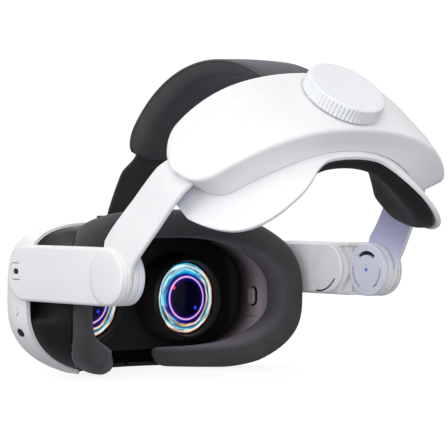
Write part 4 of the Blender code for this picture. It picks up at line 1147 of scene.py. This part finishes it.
def make_strap_arm(side, sign):
    """A flat bar that bends inwards into the cradle."""
    half = ARM_WIDTH / 2
    outline = arc(0, 0, PIVOT_RADIUS, 70, 305, 48)
    outline += [(14 * MM, 3 * MM - half), (76 * MM, 3 * MM - half), (76 * MM, half - 5 * MM)]
    outline += [(56 * MM, 0.5 * MM + half), (10 * MM, 3 * MM + half)]
    bm = slab(outline, ARM_THICKNESS)
    for i in range(1, 31):
        everything = bm.verts[:] + bm.edges[:] + bm.faces[:]
        cut = ((12 + 2 * i) * MM, 0, 0)
        bmesh.ops.bisect_plane(bm, geom=everything, dist=1e-6, plane_co=cut, plane_no=(1, 0, 0))
    for vert in bm.verts:
        u, w, t = vert.co
        lean = smooth_curve(ARM_BENDS, u / MM) * MM
        vert.co = (sign * (lean - ARM_THICKNESS / 2 + t), u, w)
    nodes = [f"strap_arm_{side}"]
    made = piece(f"strap_bar_{side}", bm, WHITE_ARM, "strap_arms", nodes, STRAP)
    rounded_edges(made, 1.2 * MM, 5, 50)
    # The inward faces take the painted shade gradient, darker and bluer higher up.
    made.data.materials.append(INNER_FACE_PAINTED_SHADE)
    for face in made.data.polygons:
        if face.normal.x * sign < -0.6:
            face.material_index = 1
    return made


def curve_stations(half_width, depth, start, power, limit, count):
    """Stations round the back of the head from right to left: a point, its outward normal, its distance from
    the nearer end along the curve, and half the curve's length."""
    stations = []
    for i in range(count + 1):
        turn = -limit + 2 * limit * i / count
        s, c = sin(turn), cos(turn)
        x = half_width * abs(s) ** (2 / power) * (1 if s > 0 else -1)
        y = start + depth * abs(c) ** (2 / power)
        nx = abs(x / half_width) ** (power - 1) / half_width * (1 if x > 0 else -1)
        ny = abs((y - start) / depth) ** (power - 1) / depth
        size = hypot(nx, ny)
        stations.append([x, y, nx / size, ny / size])
    lengths = [0.0]
    for (x0, y0, *_), (x1, y1, *_) in zip(stations, stations[1:]):
        lengths.append(lengths[-1] + hypot(x1 - x0, y1 - y0))
    total = lengths[-1]
    return [(*station, min(along, total - along), total / 2) for station, along in zip(stations, lengths)]


def station_ring(station, points):
    """Places (outward, up) points of a section at a station."""
    x, y, nx, ny = station[:4]
    return [Vector((x + nx * d, y + ny * d, w)) for d, w in points]


def end_rounding(along, reach, power=2.2):
    """1 away from an end, falling to 0 at it like the tip of an oval."""
    if along >= reach:
        return 1.0
    return (1 - (1 - along / reach) ** power) ** (1 / power)


def gap_to_plate(station):
    """How far inwards the backing plate's outer face lies from a point of the cover."""
    x, y, nx, ny = station[:4]
    y -= PLATE_START_Y
    a = (nx / PLATE_HALF_WIDTH) ** 2 + (ny / PLATE_DEPTH) ** 2
    b = x * nx / PLATE_HALF_WIDTH**2 + y * ny / PLATE_DEPTH**2
    c = (x / PLATE_HALF_WIDTH) ** 2 + (y / PLATE_DEPTH) ** 2 - 1
    return (b - max(0.0, b * b - a * c) ** 0.5) / a


def make_cradle_cover():
    """The crowned white cover with round ends, closed below on the backing plate, and the knob's seat."""
    rings = []
    stations = curve_stations(CRADLE_HALF_WIDTH, CRADLE_DEPTH, CRADLE_START_Y, 2.3, radians(66), 220)
    for station in stations:
        along, half = station[4:]
        taper = max(0.0, 1 - along / (0.55 * half)) ** 2
        top = 24.5 * MM - 8 * MM * taper
        bottom = -22 * MM + 5.5 * MM * taper
        rounding = 0.12 + 0.88 * end_rounding(along, 15 * MM)
        middle = (top + bottom) / 2
        top = middle + (top - middle) * rounding
        bottom = middle + (bottom - middle) * rounding
        depth = (9.5 - 2.5 * taper) * MM
        lip = max(depth, min(22 * MM, gap_to_plate(station) - 0.3 * MM))
        inside = -0.2 * depth
        wall_low = bottom + min(2 * MM, (middle - bottom) * 0.4)
        wall_high = top - min(2 * MM, (top - middle) * 0.4)
        crown = 1.2 * MM
        section = fillet(
            [
                (-depth, top, 0.4 * MM),
                (0, top, 4.5 * MM),
                (crown, middle + (top - middle) * 0.45, 6 * MM),
                (crown, middle - (middle - bottom) * 0.45, 6 * MM),
                (0, bottom, 2.6 * MM),
                (-lip, bottom, 0.4 * MM),
                (-lip, wall_low, 0.4 * MM),
                (inside, wall_low, 0.8 * MM),
                (inside, wall_high, 0.8 * MM),
                (-depth, wall_high, 0.4 * MM),
            ],
            6,
        )
        rings.append(station_ring(station, section))
    cover = piece("cradle_cover", skin(rings), WHITE, "cradle", ["cradle_shell"], STRAP, 40)
    seat = turned([(0, 4 * MM), (20.9 * MM, 4 * MM), (20.5 * MM, -2 * MM), (0, -2 * MM)], 120)
    return carve(cover, [cutter(seat, STRAP @ place(0, 107 * MM, 0) @ TO_REAR)], 40)


LOBE_KNOTS = (
    (0, -25.5), (12, -25.5), (18, -26.2), (25, -30), (31, -35), (38, -39.6), (46, -42.5), (51, -43.4),
    (56, -43), (60, -41), (64, -37), (67, -31.5), (69, -26), (72, -15), (76, -8),
)


def plate_bottom(x):
    """The lobed lower edge of the backing plate at a side offset."""
    return smooth_curve(LOBE_KNOTS, abs(x) / MM) * MM


def plate_span(station, inset=0.0, lower_inset=0.0):
    """The upper and lower edge of the backing plate, which draw together towards its ends."""
    end = max(0.0, 1 - station[4] / (24 * MM))
    top = 21 * MM - inset - 10 * MM * end**2
    bottom = plate_bottom(station[0]) + lower_inset + 8 * MM * end**3
    return top, bottom


def plate_section(station):
    """A rounded section of the backing plate."""
    top, bottom = plate_span(station)
    middle, edge = (top + bottom) / 2, 0.8 * MM
    points = [
        (-PLATE_THICKNESS, top, edge),
        (0, top, edge),
        (0, middle, 5 * MM),
        (0, bottom, edge),
        (-PLATE_THICKNESS, bottom, edge),
        (-PLATE_THICKNESS, middle, 5 * MM),
    ]
    return station_ring(station, fillet(points, 4))


def make_backing():
    """The smooth lobed plate inside the cover."""
    stations = curve_stations(PLATE_HALF_WIDTH, PLATE_DEPTH, PLATE_START_Y, 2, radians(66), 220)
    bm = skin([plate_section(station) for station in stations])
    return piece("lobed_plate", bm, WHITE, "cradle", ["cradle_backing"], STRAP, 40)


def pad_inset(x):
    """How far the rear pad stays above the plate's lower edge: little at the raised middle, more on the lobes."""
    return (1 + 1.2 * ease((abs(x) / MM - 19) / 12)) * MM


def pad_rows(station, near, far):
    """A dense section of the rear pad: flat outside, crowned inside, and blunt below at the raised middle."""
    top, bottom = plate_span(station, 2.2 * MM, pad_inset(station[0]))
    count = 18
    blunt = (1.2 + 4.4 * (1 - ease((abs(station[0]) / MM - 17) / 10))) * MM
    inner = []
    for i in range(count + 1):
        t = i / count
        crown = (1 - abs(2 * t - 1) ** 6) ** 0.5
        inner.append((near - blunt + (far - near + blunt) * crown, bottom + (top - bottom) * t))
    outer = [(near, bottom + (top - bottom) * (1 - i / 8)) for i in range(9)]
    return station_ring(station, inner + outer)


def make_rear_pad():
    """The dark pad inside the lobed plate, piped along its lower edge."""
    stations = curve_stations(PLATE_HALF_WIDTH, PLATE_DEPTH, PLATE_START_Y, 2, radians(64.4), 110)
    near, far = -PLATE_THICKNESS - 0.3 * MM, -PLATE_THICKNESS - 8.3 * MM
    bm = skin([pad_rows(station, near, far) for station in stations])
    made = piece("rear_cushion", bm, LEATHER, "cradle", ["rear_pad"], STRAP)
    back = STRAP.inverted()

    def hold(point):
        local = back @ point
        return ease((local.z - plate_bottom(local.x) - pad_inset(local.x)) / (9 * MM))

    puff(made, 1.6 * MM, 3.0, hold)
    path = []
    for station in stations[1:-1]:
        _, low_edge = plate_span(station, 0.0, pad_inset(station[0]))
        path += station_ring(station, [(near - 0.6 * MM, low_edge)])
    cord = tube([STRAP @ point for point in path], 0.5 * MM)
    piece("rear_cushion_piping", cord, BLACK_GLOSSY, "cradle")
    return made


def make_knob():
    """The ribbed knob with a smooth, slightly domed face."""
    height = (KNOB_FACE_Y - KNOB_BASE_Y) / MM
    levels = (
        (0.0, -0.9, 0.25),
        (0.35, 0.0, 1.0),
        (height - 1.5, 0.0, 1.0),
        (height - 0.9, -0.15, 0.35),
        (height - 0.45, -0.45, 0.0),
        (height - 0.12, -1.0, 0.0),
        (height, -2.0, 0.0),
    )
    rings = []
    for level, inset, ribbed in levels:
        ring = []
        for turn in circle(KNOB_RIBS * 6):
            rib = 0.65 * ribbed * (0.5 + 0.5 * cos(KNOB_RIBS * turn)) ** 2
            radius = KNOB_RADIUS + (inset - rib) * MM
            ring.append(Vector((radius * cos(turn), radius * sin(turn), level * MM)))
        rings.append(ring)
    bm = skin(rings)
    top = max(bm.faces, key=lambda face: face.calc_center_median().z if len(face.verts) > 4 else -1)
    for inset in (5, 6, 5):
        bmesh.ops.inset_region(bm, faces=[top], thickness=inset * MM, use_even_offset=True)
    matrix = STRAP @ place(0, KNOB_BASE_Y, 0) @ TO_REAR
    return piece("fit_knob", bm, WHITE_KNOB, "knob", ["adjuster_knob"], matrix, 32)


def pad_half_width(turn_share):
    """The top pad's half width along its arc, narrowing to a round front end."""
    return PAD_WIDTH / 2 * (1 - 0.42 * (1 - end_rounding(1 - turn_share, 0.13)))


def pad_ring(turn, share):
    """A section of the top pad at a turn round its arc: a firm outer face and a soft inner one."""
    half = pad_half_width(share)
    narrow = 1 - end_rounding(1 - share, 0.13)
    outer = PAD_OUTER_RADIUS - 0.6 * MM
    thick = (PAD_THICKNESS - 0.6 * MM) * (1 - 0.2 * narrow)
    count = 14
    section = []
    for i in range(count + 1):
        t = 2 * i / count - 1
        section.append((half * t, outer + 0.6 * MM * (1 - t * t)))
    for i in range(count + 1):
        t = 1 - 2 * i / count
        crown = (1 - abs(t) ** 5) ** 0.5
        section.append((half * t, outer - 1.6 * MM - (thick - 1.6 * MM) * crown))
    return [PAD_CENTRE + Vector((x, r * cos(turn), r * sin(turn))) for x, r in section]


def make_top_pad():
    """The padded strap over the crown, with piping along both edges of its outer face."""
    count = 90
    first, last = radians(4.5), radians(101)
    turns = [first + (last - first) * i / count for i in range(count + 1)]
    rings = [pad_ring(t, i / count) for i, t in enumerate(turns)]
    rings = round_ends(rings, 2 * MM, 4)
    made = piece("crown_pad", skin(rings), PAD_CLOTH, "cradle", ["top_pad"], STRAP)
    puff(made, 1.4 * MM, 3.0, lambda point: ease((PAD_WIDTH / 2 - abs(point.x)) / (7 * MM)))
    for side, sign in SIDES:
        path = []
        for i, t in enumerate(turns):
            half = pad_half_width(i / count)
            r = PAD_OUTER_RADIUS - 1.1 * MM
            path.append(STRAP @ (PAD_CENTRE + Vector((sign * half, r * cos(t), r * sin(t)))))
        piece(f"crown_pad_piping_{side}", tube(path, 0.6 * MM), PIPING, "cradle")
    return made


def make_webbing():
    """The woven strap from the visor, bent up towards the crown pad. Its end lies inside the crown pad and stays
    hidden there when the cradle slides out."""
    knots = ((41.9, -8.5), (45, -8.2), (50, -5.8), (57.5, -1.6), (65.6, 3.6), (73.6, 9.7))
    half, half_thick = WEBBING_WIDTH / 2, 0.75 * MM
    square = ((1, 1), (-1, 1), (-1, -1), (1, -1))
    corners = fillet([(x * half, y * half_thick, 0.5 * MM) for x, y in square], 3)
    first, last, count = knots[0][0], 86.4, 52
    straight_z = knots[-1][0]
    rings = []
    for i in range(count + 1):
        z = first + (last - first) * i / count
        y = smooth_curve(knots, z) + max(0.0, z - straight_z) * 0.76
        slope = 0.0 if z < 43 else 0.55
        size = hypot(1, slope)
        ny, nz = -1 / size, slope / size
        narrow = 1 - 0.25 * ease((z - 66) / 9) - 0.13 * ease((z - 76.4) / 3)
        rings.append([Vector((p.x * narrow, y * MM + ny * p.y, z * MM + nz * p.y)) for p in corners])
    bm = skin(rings)
    made = piece("crown_webbing", bm, WEBBING, None, ["top_webbing"], OPTICAL, 60)
    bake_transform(made)
    return made


# ---------------------------------------------------------------- CAD nodes that keep their shape

CAD_LOOKS = (
    (BLACK, "sensor_module_left sensor_module_centre sensor_module_right side_camera_left side_camera_right"),
    (BLACK, "fan_housing fan_rotor lens_distance_wheel"),
    (WHITE, "power_button volume_rocker"),
    (GLASS, "display_panel_left display_panel_right"),
    (BOARD, "main_board"),
    (METAL, "battery_pack heat_sink speaker_left speaker_right pivot_pin_left pivot_pin_right pinion_shaft"),
    (BLACK_GLOSSY, "strap_anchor"),
    # The release buttons share the side walls' painted shade gradient.
    (WARM_WALL_PAINTED_SHADE, "release_button_left release_button_right"),
    (PALE, "rack_left rack_right pad_anchor_clip"),
)


def finish_cad_nodes():
    """Gives each kept CAD node its finish."""
    for look, names in CAD_LOOKS:
        for name in names.split():
            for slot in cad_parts[name].material_slots:
                slot.material = look


# ---------------------------------------------------------------- stage


def make_floor():
    """A wide pale floor that rises into a backdrop on all sides."""
    bm = turned([(0.0, 0.0), (2.0, 0.0), (2.6, 0.04), (3.1, 0.2), (3.5, 0.55), (3.7, 1.1), (3.75, 3.5)])
    mesh = bpy.data.meshes.new("floor")
    bm.to_mesh(mesh)
    bm.free()
    mesh.shade_smooth()
    floor = bpy.data.objects.new("floor", mesh)
    floor.location.z = -0.0005
    floor.visible_diffuse = False
    floor.visible_glossy = False
    floor.visible_shadow = False
    bpy.context.scene.collection.objects.link(floor)
    made, tree, shader = material(
        "pale_floor", 0.9, Specular_IOR_Level=0.0, Emission_Color=(1, 1, 1, 1), Emission_Strength=0.86
    )
    paint(tree, shader, noise(tree, 3, 2), [(0.3, (0.24, 0.24, 0.242)), (0.7, (0.25, 0.25, 0.252))])
    mesh.materials.append(made)


def make_world():
    """A white studio: bright from above, dimmer and bluer from below."""
    world = bpy.data.worlds.new("studio")
    bpy.context.scene.world = world
    world.use_nodes = True
    tree = world.node_tree
    shader = tree.nodes["Background"]
    height = remap(tree, axes(tree, "Generated")["Z"], -1, 1)
    stops = [
        (0.0, (0.30, 0.30, 0.33)),
        (0.42, (0.38, 0.385, 0.41)),
        (0.56, (0.60, 0.605, 0.62)),
        (1.0, (0.78, 0.785, 0.79)),
    ]
    seen = tree.nodes.new("ShaderNodeLightPath").outputs["Is Camera Ray"]
    sky = mix_colours(tree, seen, ramp(tree, height, stops), (1.0, 1.0, 1.0))
    tree.links.new(sky, shader.inputs["Color"])
    shader.inputs["Strength"].default_value = 1.0


def area_light(name, location, target, size, power, colour=(1, 1, 1)):
    """A round soft light aimed at a target."""
    data = bpy.data.lights.new(name, "AREA")
    data.shape = "DISK"
    data.size = size
    data.energy = power
    data.color = colour
    light = bpy.data.objects.new(name, data)
    light.location = location
    light.rotation_euler = (Vector(target) - Vector(location)).to_track_quat("-Z", "Y").to_euler()
    bpy.context.scene.collection.objects.link(light)


def make_lights():
    """A large key from behind and above, with soft fills all round."""
    middle = (0, 0.09, 0.08)
    area_light("key", (1.3, 1.3, 1.9), middle, 1.4, 10)
    area_light("rear_fill", (1.0, 1.35, 0.3), middle, 0.9, 9.5)
    area_light("left_fill", (1.9, -0.1, 0.7), middle, 1.2, 9)
    area_light("front_fill", (-0.9, -1.5, 1.3), middle, 1.4, 8)
    area_light("right_fill", (-1.8, 0.9, 0.6), middle, 1.0, 4, (0.9, 0.91, 1.0))


def make_camera():
    """Behind the wearer's left shoulder, level with the pivots."""
    data = bpy.data.cameras.new("camera")
    data.sensor_width = 36
    data.lens = 179.65
    data.clip_start, data.clip_end = 0.05, 50
    camera = bpy.data.objects.new("camera", data)
    camera.location = (0.7044, 0.9593, 0.0936)
    aim = Vector((-0.0023, 0.0868, 0.0767)) - camera.location
    camera.rotation_euler = aim.to_track_quat("-Z", "Y").to_euler()
    bpy.context.scene.collection.objects.link(camera)
    bpy.context.scene.camera = camera


make_camera()
make_world()
make_lights()
make_floor()
make_visor()
make_windows()
make_rear_housing()
make_interface()
make_vents()
make_face_cushion()
make_lens_panel()
make_eyes()
for side_name, side_sign in SIDES:
    make_temple(side_name, side_sign)
    make_strap_arm(side_name, side_sign)
make_charging_port()
make_cradle_cover()
make_backing()
make_rear_pad()
make_knob()
make_top_pad()
make_webbing()
finish_cad_nodes()
bpy.context.scene.view_settings.view_transform = "Standard"
